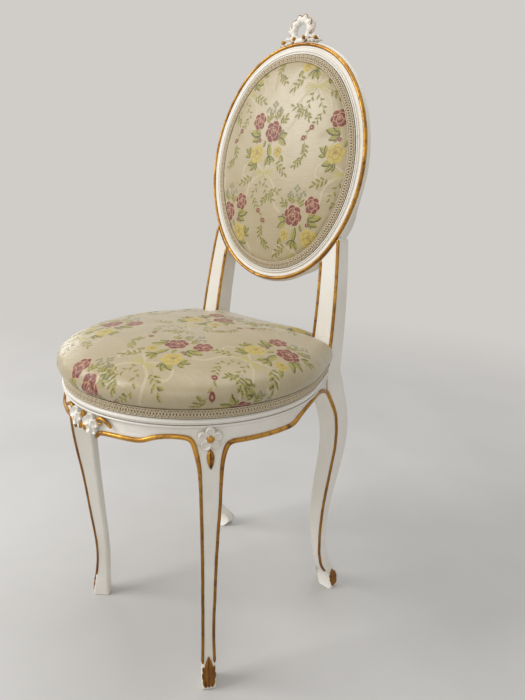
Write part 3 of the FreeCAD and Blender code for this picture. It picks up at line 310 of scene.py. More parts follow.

# %% [markdown]
# The gilding is gold leaf over red-brown bole, rubbed and darkened with age. Metal gives the gleam,
# and two sizes of noise decide where the bole and the dirt come through. Lower down, below the
# rails, the gilding is browner, by height alone.

# %% Old gilding
gilt = Finish("old_gilding")
rub = gilt.noise(95, detail=5, roughness=0.6)
tarnish = gilt.noise(26, detail=4)
leaf_gold = gilt.mix(gilt.remap(tarnish, 0.38, 0.66), colour(200, 150, 66), colour(150, 102, 38))
worn_gold = gilt.mix(gilt.remap(rub, 0.52, 0.7), leaf_gold, colour(98, 55, 23))
# Browner towards the bottom: below the rails the gold is mixed part way to brown, by height.
height = gilt.add("ShaderNodeSeparateXYZ", {"Vector": gilt.place}).outputs["Z"]
low = gilt.remap(height, 0.38, 0.3, 0, 0.5)
lower_browner_gold = gilt.mix(low, worn_gold, colour(104, 58, 22))
metal = gilt.remap(rub, 0.5, 0.68, 0.8, 0.25)
old_gilding = gilt.shade(Base_Color=lower_browner_gold, Metallic=metal,
                         Roughness=gilt.remap(rub, 0.35, 0.7, 0.3, 0.55),
                         Normal=gilt.bump(rub, 0.0003, 0.6))
print("Made", old_gilding.name)

# %% [markdown]
# Bare wood shows only under the seat, on the corner blocks and dowels; the tacks and screws are
# plain steel. Straps are jute, and the lining under the seat is a thin cotton.

# %% Hidden finishes
wood = Finish("bare_beech", Roughness=0.62)
along = wood.add("ShaderNodeMapping", {"Vector": wood.place, "Scale": (14, 120, 120)}).outputs[0]
grain = wood.noise(1, detail=5, place=along)
beech = wood.mix(wood.remap(grain, 0.3, 0.7), colour(196, 158, 112), colour(150, 110, 70))
bare_beech = wood.shade(Base_Color=beech, Normal=wood.bump(grain, 0.0003, 0.5))
steel = Finish("tack_steel", Metallic=1.0)
mottle = steel.noise(300, detail=3)
dull = steel.mix(steel.remap(mottle, 0.35, 0.7), colour(140, 138, 134), colour(96, 84, 72))
tack_steel = steel.shade(Base_Color=dull, Roughness=steel.remap(mottle, 0.3, 0.7, 0.32, 0.5))


def woven(name, light, dark, thread, roughness):
    """A plain weave on Object coordinates: two sets of bands at right angles, a thread wide."""
    cloth = Finish(name, Roughness=roughness, Sheen_Weight=0.15)
    inputs = {"Vector": cloth.place, "Scale": np.pi / 10 / thread, "Distortion": 0.6}
    waves = [cloth.add("ShaderNodeTexWave", inputs, bands_direction=axis).outputs["Fac"] for axis in "XY"]
    weave = cloth.math("MULTIPLY", *waves)
    slub = cloth.noise(60, detail=4)
    tone = cloth.math("ADD", cloth.math("MULTIPLY", weave, 0.6), cloth.math("MULTIPLY", slub, 0.4))
    return cloth.shade(Base_Color=cloth.mix(cloth.remap(tone, 0.2, 0.75), dark, light),
                       Normal=cloth.bump(weave, 0.0003, 0.7))


jute = woven("jute_webbing", colour(176, 146, 104), colour(118, 92, 60), 1.6 * MM, 0.9)
lining = woven("cotton_lining", colour(196, 186, 166), colour(160, 150, 130), 0.7 * MM, 0.85)
print("Made", bare_beech.name, tack_steel.name, jute.name, lining.name)

# %% [markdown]
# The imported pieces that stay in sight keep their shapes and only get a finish. The record names a
# slot for each of them, and a table gives the finish of each slot.

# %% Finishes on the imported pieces
FINISH_OF_SLOT = {"painted_wood": white_paint, "gilding": old_gilding, "bare_wood": bare_beech,
                  "steel": tack_steel, "jute": jute, "lining": lining}
for entry in frame["record"]["subparts"]:
    finish = FINISH_OF_SLOT.get(entry["material_slot"])
    node = frame["nodes"][entry["node"]]
    if finish:
        node.data.materials.clear()
        node.data.materials.append(finish)

print("Finishes laid on the packed pieces")

# %% [markdown]
# On the real chair the back is a hoop of four sawn pieces, dowelled and moulded in one run. Here
# the moulding is one outline carried round the oval. An oval of arcs has the same normals at any
# inset, so a point is a centre plus a radius less the inset along the normal.

# %% The oval and its hoop
def oval(angle, inset=0.0):
    """A point of the oval by the angle of its normal: the arc's centre plus its radius less the inset."""
    cosine = np.cos(angle)
    sine = np.sin(angle)
    side = np.abs(sine) < np.sin(OVAL_JOINT)
    radius = np.where(side, SIDE_RADIUS, END_RADIUS) - inset
    across = np.where(side, -SIDE_CENTRE * np.sign(cosine), 0) + radius * cosine
    up = np.where(side, 0, END_CENTRE * np.sign(sine)) + radius * sine
    return across, up


def hoop(loops):
    """A skin over loops set in a ring, closed both ways."""
    rows, columns = loops.shape[:2]
    return loops.reshape(-1, 3), [grid_faces(rows + 1, columns, wrap=True) % (rows * columns)]


def once_round(steps):
    """Angles in even steps once round, without the last, which would be the first again."""
    return np.linspace(0, 2 * np.pi, steps, endpoint=False)


OVAL_TURN = once_round(320)[:, None]


def round_oval(out, behind):
    """An outline, as places out from the oval and behind its face, carried round the oval."""
    across, up = oval(OVAL_TURN, -np.atleast_2d(out))
    return hoop(on_back(across, np.broadcast_to(behind, across.shape), up))


print("The oval's arcs have radii of", np.round([SIDE_RADIUS, END_RADIUS], 3), "m")

# %% [markdown]
# From the cushion outwards the moulding has two reeds, a shallow hollow and a rounded edge, which
# carries a gilt bead. Behind, the frame is rounded off, except where the posts join it: there it
# keeps its full thickness.

# %% Oval moulding
REED_RADIUS = 1.3 * MM
reed_turn = np.linspace(0, np.pi, 7)
reeds = [np.array([middle * MM - REED_RADIUS * np.cos(reed_turn), -REED_RADIUS * np.sin(reed_turn)])
         for middle in (-13.9, -10.7)]
cove_out = np.linspace(-9.3, -5.3, 9) * MM
cove_behind = (1 - ((cove_out / MM + 7.3) / 2) ** 2) * 0.7 * MM
slim_out = np.array([-4.6, -2.2, 0.8, 3.2, 4.5, 2.5, -2, -8, -13, -15, -15, -34, -34, -22.5, -22.5,
                     -15.5]) * MM
full_out = slim_out.copy()
full_out[5:9] = np.array([4.5, 4.5, 3.5, 1]) * MM
shell_behind = np.array([0, 0.6, 1.6, 3.6, 7, 10.5, 15, 20, 23, 24, 20, 20, 8, 8, 4, 4]) * MM

# Angles in degrees: where the posts join, how far from there the full thickness ends, and its fading
POST_JOINT = 40
FADE_END = 32
FADE = 18
from_post = np.abs(np.degrees(np.arctan2(np.sin(OVAL_TURN), np.abs(np.cos(OVAL_TURN)))) + POST_JOINT)
near_post = np.clip((FADE_END - from_post) / FADE, 0, 1)
near_post = near_post ** 2 * (3 - 2 * near_post)
shell_out = slim_out + (full_out - slim_out) * near_post
front_out = np.concatenate([reeds[0][0], reeds[1][0], cove_out])
front_out = np.broadcast_to(front_out, (len(OVAL_TURN), len(front_out)))
frame_out = np.concatenate([front_out, shell_out], axis=1)
frame_behind = np.concatenate([reeds[0][1], reeds[1][1], cove_behind, shell_behind])
OVAL_NODES = ("back_oval_top", "back_oval_right", "back_oval_bottom", "back_oval_left")
piece("back_frame", [round_oval(frame_out, frame_behind)], white_paint, OVAL_NODES)

bead_turn = once_round(20)
bead_out = -0.8 * MM + 2.8 * MM * np.cos(bead_turn)
bead_behind = 2 * MM - 4.2 * MM * np.sin(bead_turn)
piece("back_frame_bead", [round_oval(bead_out, bead_behind)], old_gilding)

# %% [markdown]
# A gilt bead runs along every edge of the frame. The edges of the legs are found from the packed
# legs themselves: each level plane cuts the mesh, and the cut point that lies furthest out along a
# direction is on the edge.

# %% Edges of the legs
def node_edges(node):
    """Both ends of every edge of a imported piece."""
    mesh = frame["nodes"][node].data
    points = np.empty(3 * len(mesh.vertices))
    mesh.vertices.foreach_get("co", points)
    ends = np.empty(2 * len(mesh.edges), int)
    mesh.edges.foreach_get("vertices", ends)
    points = points.reshape(-1, 3)[ends.reshape(-1, 2)]
    return points[:, 0], points[:, 1]


def edge_line(node, levels, direction):
    """The furthest point along a direction of the cut through a piece, at each level."""
    first, second = node_edges(node)
    line = []
    for level in levels:
        cut = (first[:, 2] - level) * (second[:, 2] - level) < 0
        share = (level - first[cut, 2]) / (second[cut, 2] - first[cut, 2])
        points = first[cut] + share[:, None] * (second[cut] - first[cut])
        line.append(points[np.argmax(points @ direction)])
    return np.array(line)


LEG_OUT = np.array([np.cos(LEG_ANGLE), -np.sin(LEG_ANGLE), 0])
LEG_FRONT = np.array([-np.sin(LEG_ANGLE), -np.cos(LEG_ANGLE), 0])
leg_levels = np.arange(40, 384, 4) * MM
front_edge = edge_line("front_right_leg", leg_levels, 0.72 * LEG_OUT + 0.69 * LEG_FRONT)
side_edge = edge_line("front_right_leg", leg_levels, 0.72 * LEG_OUT - 0.69 * LEG_FRONT)
rear_edge = edge_line("rear_right_leg", np.arange(46, 386, 4) * MM, np.array([0.6, -0.8, 0]))
print("Found the edges of the legs, from", np.round(front_edge[0], 3), "to", np.round(front_edge[-1], 3))

# %% [markdown]
# On the real chair the bead is carved from the wood, but a round cord sunk in the edge looks the
# same. The found points are walked in even steps and softened by a bell curve, so that no facet of
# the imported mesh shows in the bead.

# %% Cords along a line
def walked(points):
    """How far along a line each of its points lies: the lengths of its steps, added up."""
    return np.concatenate([[0], np.cumsum(np.linalg.norm(np.diff(points, axis=0), axis=1))])


def bell(spread, reach):
    """Weights of a bell curve, out to a reach each way, that add up to 1."""
    weights = np.exp(-0.5 * (np.arange(-reach, reach + 1) / spread) ** 2)
    return weights / weights.sum()


def even_line(points, step=2 * MM, spread=4):
    """A line walked in even steps, each point then blended with its neighbours by a bell curve."""
    lengths = walked(points)
    walk = np.linspace(0, lengths[-1], int(lengths[-1] / step) + 1)
    even = np.stack([np.interp(walk, lengths, column) for column in points.T], -1)
    reach = 3 * spread
    before = 2 * even[0] - even[reach:0:-1]
    after = 2 * even[-1] - even[-2:-reach - 2:-1]
    longer = np.concatenate([before, even, after])
    return np.stack([np.convolve(column, bell(spread, reach), "valid") for column in longer.T], -1)


def cord(path, radius, sides=12, tip=2.5):
    """A round cord along a path, rounding off over the last part of it at each end."""
    forward = unit(np.gradient(path, axis=0))
    away = unit(path * [1, 1, 0] + [0, 0.001, 0])
    across = unit(np.cross(forward, away))
    up = np.cross(across, forward)
    lengths = walked(path)
    to_end = np.minimum(lengths, lengths[-1] - lengths) / (tip * radius)
    size = np.broadcast_to(radius * np.sqrt(1 - (1 - np.clip(to_end, 0.02, 1)) ** 2), lengths.shape)
    turn = once_round(sides)[:, None]
    ring = np.cos(turn) * across[:, None] + np.sin(turn) * up[:, None]
    return loft(path[:, None] + size[:, None, None] * ring)


print("The weights of a bell curve add up to", round(float(bell(4, 12).sum()), 6))

# %% [markdown]
# The bead turns from each front leg into the lower edge of the rails, where the rails are sawn up
# in shallow arches beside the legs, and runs on down the rear leg. One smooth line per run keeps
# the turns as soft as carving.

# %% Rail and leg beads
def arch(place, middle, half_span, rise):
    """The lower edge of a rail: the foot level, raised in a round arch about the middle."""
    radius = (half_span ** 2 + rise ** 2) / (2 * rise)
    inside = np.maximum(radius ** 2 - (place - middle) ** 2, 0)
    return np.maximum(RAIL_FOOT, RAIL_FOOT + rise - radius + np.sqrt(inside))


def rail_line(across, back, foot):
    """A line along the rail's face a little above its foot, drawn in where the face is hollowed."""
    hollow = 1 - np.clip((foot - RAIL_FOOT) / (10 * MM), 0, 1) * 2 * MM / SEAT_RADIUS
    return on_seat(across * hollow, back * hollow, foot + 2 * MM)


FRONT_GAP = np.radians(7.5)
front_turn = np.linspace(-np.pi / 2 + FRONT_GAP, -LEG_ANGLE - POST_HALF_ANGLE, 80)
front_x = SEAT_RADIUS * np.cos(front_turn)
front_foot = arch(front_x, 122 * MM, 31 * MM, 9 * MM)
front_foot -= 5 * MM * np.exp(-(front_turn - front_turn[0]) / np.radians(2.5))
front_rail_line = rail_line(front_x, SEAT_RADIUS * np.sin(front_turn), front_foot)
front_run = even_line(np.concatenate([front_rail_line, front_edge[::-1]]), spread=3)

side_turn = np.linspace(-LEG_ANGLE + POST_HALF_ANGLE * 1.05, SEAT_SPLAY, 60)
straight = np.linspace(0.05, 1, 30) * (POST_FRONT - SEAT_RADIUS * np.sin(SEAT_SPLAY)) / np.cos(SEAT_SPLAY)
side_x = np.concatenate([SEAT_RADIUS * np.cos(side_turn),
                         SEAT_RADIUS * np.cos(SEAT_SPLAY) - straight * np.sin(SEAT_SPLAY)])
side_y = np.concatenate([SEAT_RADIUS * np.sin(side_turn),
                         SEAT_RADIUS * np.sin(SEAT_SPLAY) + straight * np.cos(SEAT_SPLAY)])
side_rail_line = rail_line(side_x, side_y, arch(side_y, 72 * MM, 66 * MM, 16 * MM))
side_run = even_line(np.concatenate([side_edge, side_rail_line, rear_edge[::-1]]), spread=3)


def bead_size(line):
    """Thick along the rails, thinner down the legs."""
    return 2.3 * MM + 0.9 * MM * np.clip((line[:, 2] - 330 * MM) / (50 * MM), 0, 1)


def gilt_pair(name, shells):
    """A gilt piece on the right and its mirror image on the left; the name has {} for the hand."""
    piece(name.format("right"), shells, old_gilding)
    piece(name.format("left"), [mirrored(shell) for shell in shells], old_gilding)


gilt_pair("{}_leg_beads", [cord(line, bead_size(line)) for line in (front_run, side_run)])

# %% [markdown]
# Along the top of the rails, under the braid, runs a plain white bead with a thin one below it. Both
# follow the plan of the seat from post to post.

# %% Rail mouldings
def plan_line(reach, level, front=POST_FRONT):
    """A line round the seat's plan from the left post by the front to the right post."""
    turn = np.linspace(-np.pi - SEAT_SPLAY, SEAT_SPLAY, 1200)
    length = (front - reach * np.sin(SEAT_SPLAY)) / np.cos(SEAT_SPLAY)
    run = np.linspace(1, 0.01, 90) * length
    across = reach * np.cos(SEAT_SPLAY) - run * np.sin(SEAT_SPLAY)
    back = reach * np.sin(SEAT_SPLAY) + run * np.cos(SEAT_SPLAY)
    facing = np.concatenate([np.full(90, -np.pi - SEAT_SPLAY), turn, np.full(90, SEAT_SPLAY)])
    line = on_seat(np.concatenate([-across, reach * np.cos(turn), across[::-1]]),
                   np.concatenate([back, reach * np.sin(turn), back[::-1]]), level)
    return line, np.stack([np.cos(facing), np.sin(facing), np.zeros_like(facing)], -1)


mouldings = [cord(plan_line(reach * MM, level * MM)[0], size * MM)
             for reach, level, size in ((190, 422, 2.4), (189.8, 415.4, 1.5))]
piece("rail_mouldings", mouldings, white_paint)

# %% [markdown]
# The posts that carry the oval have a bead on each edge of their leaning front face. The edges bow
# a little to the outside, and the beads stop where they run into the bead of the oval.

# %% Post beads
def post_line(foot, head):
    """An edge of the post on the back's plane: a straight line with a shallow bow to the outside."""
    share = np.linspace(0.02, 1.1, 160)
    bow = 5 * MM * 4 * share * (1 - share)
    across = foot + (head - foot) * share + bow
    up = STILE_FOOT + (-62 * MM - STILE_FOOT) * share
    centre = np.array([-SIDE_CENTRE, 0])
    clear = np.hypot(across - centre[0], up - centre[1]) - SIDE_RADIUS > 2.5 * MM
    below = np.hypot(across, up + END_CENTRE) - END_RADIUS > 2.5 * MM
    kept = np.where(np.arctan2(up, across + SIDE_CENTRE) > -OVAL_JOINT, clear, below)
    return on_back(across, 0.6 * MM, up)[kept]


outer_bead = post_line(POST_OUT - 2.2 * MM, 124 * MM - 2.2 * MM)
inner_bead = post_line(POST_IN + 2.2 * MM, 92 * MM + 2.2 * MM)
gilt_pair("{}_post_beads", [cord(line, 2.6 * MM) for line in (outer_bead, inner_bead)])

# %% [markdown]
# The carved flowers have five cupped petals. Each petal is a small dish, made of rings of an ellipse
# that rise to a lip and drop to a foot inside the wood. A slant lays one edge over the next petal.

# %% Carved flowers
PETALS = 5


def petal(radius, rim, sink):
    """A cupped petal: rings of an ellipse whose height rises to a lip near the edge and drops to a foot."""
    share = np.array([0.06, 0.25, 0.45, 0.65, 0.8, 0.9, 0.97, 1.0, 1.0])[:, None]
    height = np.array([0.25, 0.28, 0.4, 0.66, 0.92, 1.0, 0.9, 0.55, 0])[:, None] * rim
    turn = once_round(28)
    along = 0.59 * radius + 0.41 * radius * share * np.cos(turn)
    aside = 0.39 * radius * share * np.sin(turn)
    up = height + 0.24 * aside
    up[-1] = -sink
    return loft(np.stack([along, aside, up], -1))


def flower(radius, rim, sink):
    """Five petals round a middle, each the first one turned."""
    points, faces = petal(radius, rim, sink)
    petals = []
    for turn in 2 * np.pi / PETALS * np.arange(PETALS):
        cosine, sine = np.cos(turn), np.sin(turn)
        petals.append((points @ np.array([[cosine, sine, 0], [-sine, cosine, 0], [0, 0, 1]]), faces))
    return merged(petals)


def dome(radius, height, sink):
    """A round boss: rings of a half ball, down to a foot below the plane."""
    rise = np.linspace(np.pi / 2 - 0.12, 0, 9)[:, None]
    turn = once_round(24)
    rings = np.stack(np.broadcast_arrays(radius * np.cos(rise) * np.cos(turn),
                                         radius * np.cos(rise) * np.sin(turn), height * np.sin(rise)), -1)
    foot = rings[-1:] - [0, 0, sink]
    return loft(np.concatenate([rings, foot]))


print("A flower has", len(flower(1.0, 0.3, 0.3)[0]), "points")

# %% [markdown]
# A carved leaf is lens-shaped in section, with a groove down the middle, and its edge may have lobes.
# It is made flat and then laid on the chair, where two directions give the plane it lies in.

# %% Carved leaves
def leaf(length, width, height, sink, bend=0.0, lobes=0, rows=36):
    """A leaf along a bent line: lens-shaped loops that swell and shrink, with a groove down the middle."""
    share = np.linspace(0.01, 0.99, rows)
    turn = bend * share
    step = length / rows
    along = np.cumsum(np.cos(turn)) * step
    aside = np.cumsum(np.sin(turn)) * step
    swell = np.sin(np.pi * share ** 0.8) ** 0.75
    swell = swell * (1 + 0.22 * np.cos(2 * np.pi * lobes * share) * (lobes > 0))
    around = once_round(20)
    out = width / 2 * swell[:, None] * np.cos(around)
    groove = 1 - 0.55 * np.exp(-(np.cos(around) / 0.22) ** 2)
    rise = np.where(np.sin(around) > 0, height * groove, sink) * np.sin(around)
    up = rise * (0.35 + 0.65 * swell[:, None])
    bent = [along[:, None] - out * np.sin(turn)[:, None], aside[:, None] + out * np.cos(turn)[:, None], up]
    return loft(np.stack(bent, -1))


def laid(shell, place, first, second, turn=0.0):
    """A shell from its own plane to a place on the chair: two directions there, and a turn in the plane."""
    points, faces = shell
    cosine, sine = np.cos(turn), np.sin(turn)
    right = cosine * first + sine * second
    up = cosine * second - sine * first
    normal = np.cross(right, up)
    return place + points @ np.stack([right, up, normal]), faces


def on_rail(shell, angle, level, out=0.0, turn=0.0):
    """A shell on the rail's face, at an angle from the front, upright."""
    way = np.array([np.sin(angle), -np.cos(angle), 0])
    right = np.array([np.cos(angle), np.sin(angle), 0])
    place = on_seat(way[0] * (SEAT_RADIUS + out), way[1] * (SEAT_RADIUS + out), level)
    return laid(shell, place, right, np.array([0, 0, 1.0]), turn)


print("A leaf has", len(leaf(1.0, 0.4, 0.1, 0.1)[0]), "points")

# %% [markdown]
# Each front knee carries one white flower with a gilt boss, and a gilt bud below it that leans out
# with the swell of the leg.

# %% Knee flowers
FLOWER_LEVEL = 400 * MM
BUD_LEVEL = FLOWER_LEVEL - 14 * MM
BUD_LEAN = 0.24
KNEE = np.pi / 2 - LEG_ANGLE
for hand, angle in (("right", KNEE), ("left", -KNEE)):
    bloom = on_rail(flower(15.5 * MM, 4.6 * MM, 6 * MM), angle, FLOWER_LEVEL, 0.8 * MM, np.pi / 2)
    piece(hand + "_knee_rose", [bloom], white_paint, (hand + "_knee_flower",))
    boss = on_rail(dome(5.3 * MM, 5.4 * MM, 4 * MM), angle, FLOWER_LEVEL, 3 * MM)
    bud = on_rail(leaf(24 * MM, 9.5 * MM, 4 * MM, 4 * MM), angle, BUD_LEVEL, 3 * MM, -np.pi / 2)
    way = np.array([np.sin(angle), -np.cos(angle), 0])
    leaning = (bud[0] - BUD_LEAN * (bud[0][:, 2:] - BUD_LEVEL) * way, bud[1])
    piece(hand + "_knee_gilding", [boss, leaning], old_gilding)

# %% [markdown]
# In the middle of the front rail two flowers sit side by side, white, with gilt leaves between them
# above and below. A gilt scroll, rolled in at its inner end, runs off to each side.

# %% Front rail carving
TWIN = np.radians(5.1)
twins = []
for angle in (-TWIN, TWIN):
    twins.append(on_rail(flower(15 * MM, 4 * MM, 6 * MM), angle, FLOWER_LEVEL, 0.6 * MM, np.pi / 2))
    twins.append(on_rail(dome(4.4 * MM, 4 * MM, 4 * MM), angle, FLOWER_LEVEL, 1.6 * MM))
piece("front_rail_flowers", twins, white_paint, ("front_rail_carving",))

SCROLL_ANGLE = np.radians(9.2)
SCROLL = np.array([(5, -1.5), (2, -4), (-2, -3.4), (-3.6, 0), (-1, 3.8), (6, 4.6), (13, 2.6), (20, -1.2),
                   (23, -3.6)]) * MM
scroll_line = even_line(np.insert(SCROLL, 2, 0, axis=1), step=0.7 * MM, spread=3)
scroll_walk = np.linspace(0, 1, len(scroll_line))
scroll_size = np.interp(scroll_walk, (0, 0.3, 0.6, 1), (1.9 * MM, 2.3 * MM, 2.7 * MM, 2.2 * MM))
sprays = [on_rail(leaf(11 * MM, 6.5 * MM, 3.6 * MM, 3 * MM), 0, 403.5 * MM, 1.6 * MM, np.pi / 2)]
for side, forward in ((1, 0.0), (-1, np.pi)):
    points, faces = cord(scroll_line, scroll_size)
    scroll = (points * [side, 1, 1], faces)
    sprays.append(on_rail(scroll, side * SCROLL_ANGLE, 407 * MM, 1.2 * MM))
    low_leaf = leaf(14 * MM, 6.5 * MM, 3.6 * MM, 3 * MM, 0.4 * side)
    sprays.append(on_rail(low_leaf, side * np.radians(0.3), 398 * MM, 2.4 * MM, -np.pi / 2 + side * 0.4))
    for lean in (0.2, 0.65):
        finger = leaf(11 * MM, 5 * MM, 3 * MM, 3 * MM, 0.6 * side)
        turn = forward + np.pi + side * lean
        sprays.append(on_rail(finger, side * SCROLL_ANGLE, 390 * MM, 0.8 * MM, turn))
piece("front_rail_leaves", sprays, old_gilding)

# %% [markdown]
# A small wreath crowns the back. It is a ring with a ruffled edge, a leaf lying along the frame to
# each side, and two gilt berries where they meet; a thin gilt line picks out the ring's outer edge.

# %% Crest
CREST_UP = 203 * MM
ring_turn = once_round(144)[:, None]
section = once_round(20)
ruffle = 1 + 0.1 * np.cos(10 * ring_turn)
ring_out = 15.5 * MM + (5.8 * MM * np.cos(section)) * ruffle + 1.0 * MM * np.cos(10 * ring_turn)
ring_behind = 9 * MM - 5.5 * MM * np.sin(section) * ruffle


def round_wreath(out, behind):
    """A hoop about the wreath's middle: places so far out from it and behind the back's face."""
    return hoop(on_back(out * np.cos(ring_turn) * 1.02, behind, CREST_UP + out * np.sin(ring_turn) * 1.04))


def on_crest(shell, across, up, turn, behind=6 * MM):
    """A shell facing forwards on the top of the back."""
    return laid(shell, on_back(across, behind, up), BACK_AXES[0], BACK_AXES[2], turn)


crest_leaves = []
for side, forward in ((1, 0.0), (-1, np.pi)):
    low = leaf(33 * MM, 13 * MM, 5 * MM, 5 * MM, -0.5 * side, lobes=4)
    crest_leaves.append(on_crest(low, side * 9 * MM, 190 * MM, forward + side * 0.08, 9 * MM))
    high = leaf(20 * MM, 9 * MM, 4 * MM, 4 * MM, 0.7 * side)
    crest_leaves.append(on_crest(high, side * 12 * MM, 198 * MM, forward + side * 0.45, 8 * MM))
wreath = round_wreath(ring_out, ring_behind)
piece("crest_wreath", [wreath] + crest_leaves, white_paint, ("crest_carving",))

LINE_RADIUS = 0.9 * MM
line_section = once_round(8)
line_out = 20.6 * MM + 1.6 * MM * np.cos(10 * ring_turn) + LINE_RADIUS * np.cos(line_section)
line = round_wreath(line_out, 6.2 * MM - LINE_RADIUS * np.sin(line_section))
berries = [on_crest(dome(2.8 * MM, 2.8 * MM, 4 * MM), side * across * MM, up * MM, 0, behind * MM)
           for side in (1, -1) for across, up, behind in ((9.5, 191, 3), (32, 188.5, 4))]
piece("crest_gilding", [line] + berries, old_gilding)

# %% [markdown]
# Each foot ends in a gilt leaf that wraps the toe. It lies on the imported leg's face: cuts through
# the leg at two levels give the face's middle and its slope, and lobes fan out from there. On the
# rear feet a smaller leaf lies on the outer side.

# %% Toe leaves
def toe_frame(node, way, low, high):
    """A toe's face at a low level: its middle, the way across it, and the way up to a higher level."""
    side = np.array([-way[1], way[0], 0])
    furthest, one_side, other_side = [edge_line(node, [low, high], turn) for turn in (way, side, -side)]
    middle = 0.5 * (one_side + other_side)
    face = middle + ((furthest - middle) @ way)[:, None] * way
    up = unit(face[1] - face[0])
    return face[0], unit(np.cross(up, way)), up


SIDE_LOBES = ((4.5, 0.5, 0.05, 20, 8.5), (2.5, 8, 0.42, 17, 7.5), (1.5, 18, 0.45, 17, 7.5))
TOE_LOBES = [(0, 0, 0, 49, 15, 3.6)]
TOE_LOBES += [(side * across, up, side * lean, length, width, 2.8)
              for across, up, lean, length, width in SIDE_LOBES for side in (1, -1)]
for end, way, scale in (("front", LEG_OUT, 1.0), ("rear", np.array([1.0, 0, 0]), 0.86)):
    toe_place, toe_right, toe_up = toe_frame(end + "_right_leg", way, 2.5 * MM, 34 * MM)
    toe_shells = []
    sizes = np.array(TOE_LOBES) * [MM, MM, 1 / scale, MM, MM, MM] * scale
    for across, up, lean, length, width, height in sizes:
        lobe = leaf(length, width, height, 3 * MM)
        place = toe_place + across * toe_right + up * toe_up
        toe_shells.append(laid(lobe, place, toe_right, toe_up, np.pi / 2 - lean))
    gilt_pair(end + "_{}_toe_leaf", toe_shells)

# %% [markdown]
# The seat's cushion fills the plan inside the rails. It is a circle whose sides run straight back,
# cut by the rear rail and by the two posts. A bell curve softens its corners, as cloth would.

# %% The seat's plan
def seat_plan(gap=0.6 * MM):
    """The plan by angle: the circle and the straight sides it runs into, cut by the rear and the posts."""
    angle = np.linspace(-np.pi, np.pi, 2881)
    back = np.sin(angle)
    across = np.abs(np.cos(angle))
    beyond = np.maximum(np.arcsin(back) - SEAT_SPLAY, 0)
    side = SEAT_RADIUS / np.cos(np.minimum(beyond, 1.2))
    behind = np.maximum(back, 0.02)
    rear = REAR_FACE / behind
    post = np.maximum((POST_FRONT - gap) / behind, (POST_IN - gap) / np.maximum(across, 0.02))
    reach = np.minimum(np.minimum(side, rear), post)
    free = (post > np.minimum(side, rear)).astype(float)
    soft = bell(8, 36)
    wrapped = [np.concatenate([column[-37:-1], column, column[1:37]]) for column in (reach, free)]
    return angle, np.convolve(wrapped[0], soft, "valid"), np.convolve(wrapped[1], soft, "valid")


PLAN = seat_plan()


def seat_reach(angle, out, level):
    """How far the cushion's outline lies from the middle; at the posts it leans back with them."""
    reach = np.interp(angle, PLAN[0], PLAN[1])
    free = np.interp(angle, PLAN[0], PLAN[2])
    lean = (level - SEAT_HEIGHT) * np.tan(BACK_TILT)
    return reach + out * free + lean * (1 - free)


print("The seat's plan reaches from", np.round(PLAN[1].min(), 3), "to", np.round(PLAN[1].max(), 3), "m")

# %% [markdown]
# A cover is cut from square cloth, but the seat and the back are round. A square grid pressed into
# a disc keeps its rows as the threads of the cloth, with no pinched point in the middle. Rings that
# follow its edge close it below.

# %% Sheets on a disc
def disc_grid(count):
    """A square grid pressed into a disc: the share of the way out and the angle of each point."""
    line = np.linspace(-1, 1, count)
    a, b = np.meshgrid(line, line)
    across = a * np.sqrt(1 - b ** 2 / 2)
    up = b * np.sqrt(1 - a ** 2 / 2)
    return np.hypot(across, up), np.arctan2(up, across)


def rim_of(count):
    """Numbers of the points round the edge of a square grid, in order."""
    line = np.arange(count)
    parts = [line[:-1], line[:-1] * count + count - 1, (count * count - 1) - line[:-1],
             (count - 1 - line[:-1]) * count]
    return np.concatenate(parts)


def rim_angles(count):
    """The angle of each point round the edge of a disc."""
    return disc_grid(count)[1].ravel()[rim_of(count)]


def closed_sheet(top, count, rings):
    """A square grid of points closed underneath by rings that follow its edge, and a fan."""
    edge = rim_of(count)
    points = top.reshape(-1, 3)
    quads = [grid_faces(count, count)]
    ring_numbers = edge
    start = len(points)
    parts = [points]
    steps = np.arange(len(edge))
    after = (steps + 1) % len(edge)
    for ring in rings:
        fresh = start + steps
        quads.append(np.stack([ring_numbers[after], ring_numbers, fresh, fresh[after]], -1))
        parts.append(ring)
        ring_numbers = fresh
        start += len(edge)
    parts.append(rings[-1].mean(0, keepdims=True))
    fan = np.stack([ring_numbers[after], ring_numbers, np.full(len(edge), start)], -1)
    return np.concatenate(parts), [np.concatenate(quads), fan]


def superdome(inset, run, rise, fullness=0.95):
    """The height of a full cushion by the way in from its edge: a quarter of a squarish ellipse."""
    across = np.clip(1 - inset / run, 0, 1) ** (1 / fullness)
    return rise * (1 - across ** 2) ** (fullness / 2)


print("A grid of 5 by 5 points has", len(rim_of(5)), "on its edge")

# %% [markdown]
# Stuffing pushes a cover out evenly, as air would, while the tacks hold its hem. Cloth simulation on
# a passing object finds that shape, and no point may move further than a set few millimetres.

# %% Filling by cloth simulation
PRESSURE = 4.0
MOMENTS = 20


def places(mesh):
    """Where the points of a mesh are."""
    flat = np.empty(3 * len(mesh.vertices))
    mesh.vertices.foreach_get("co", flat)
    return flat.reshape(-1, 3)


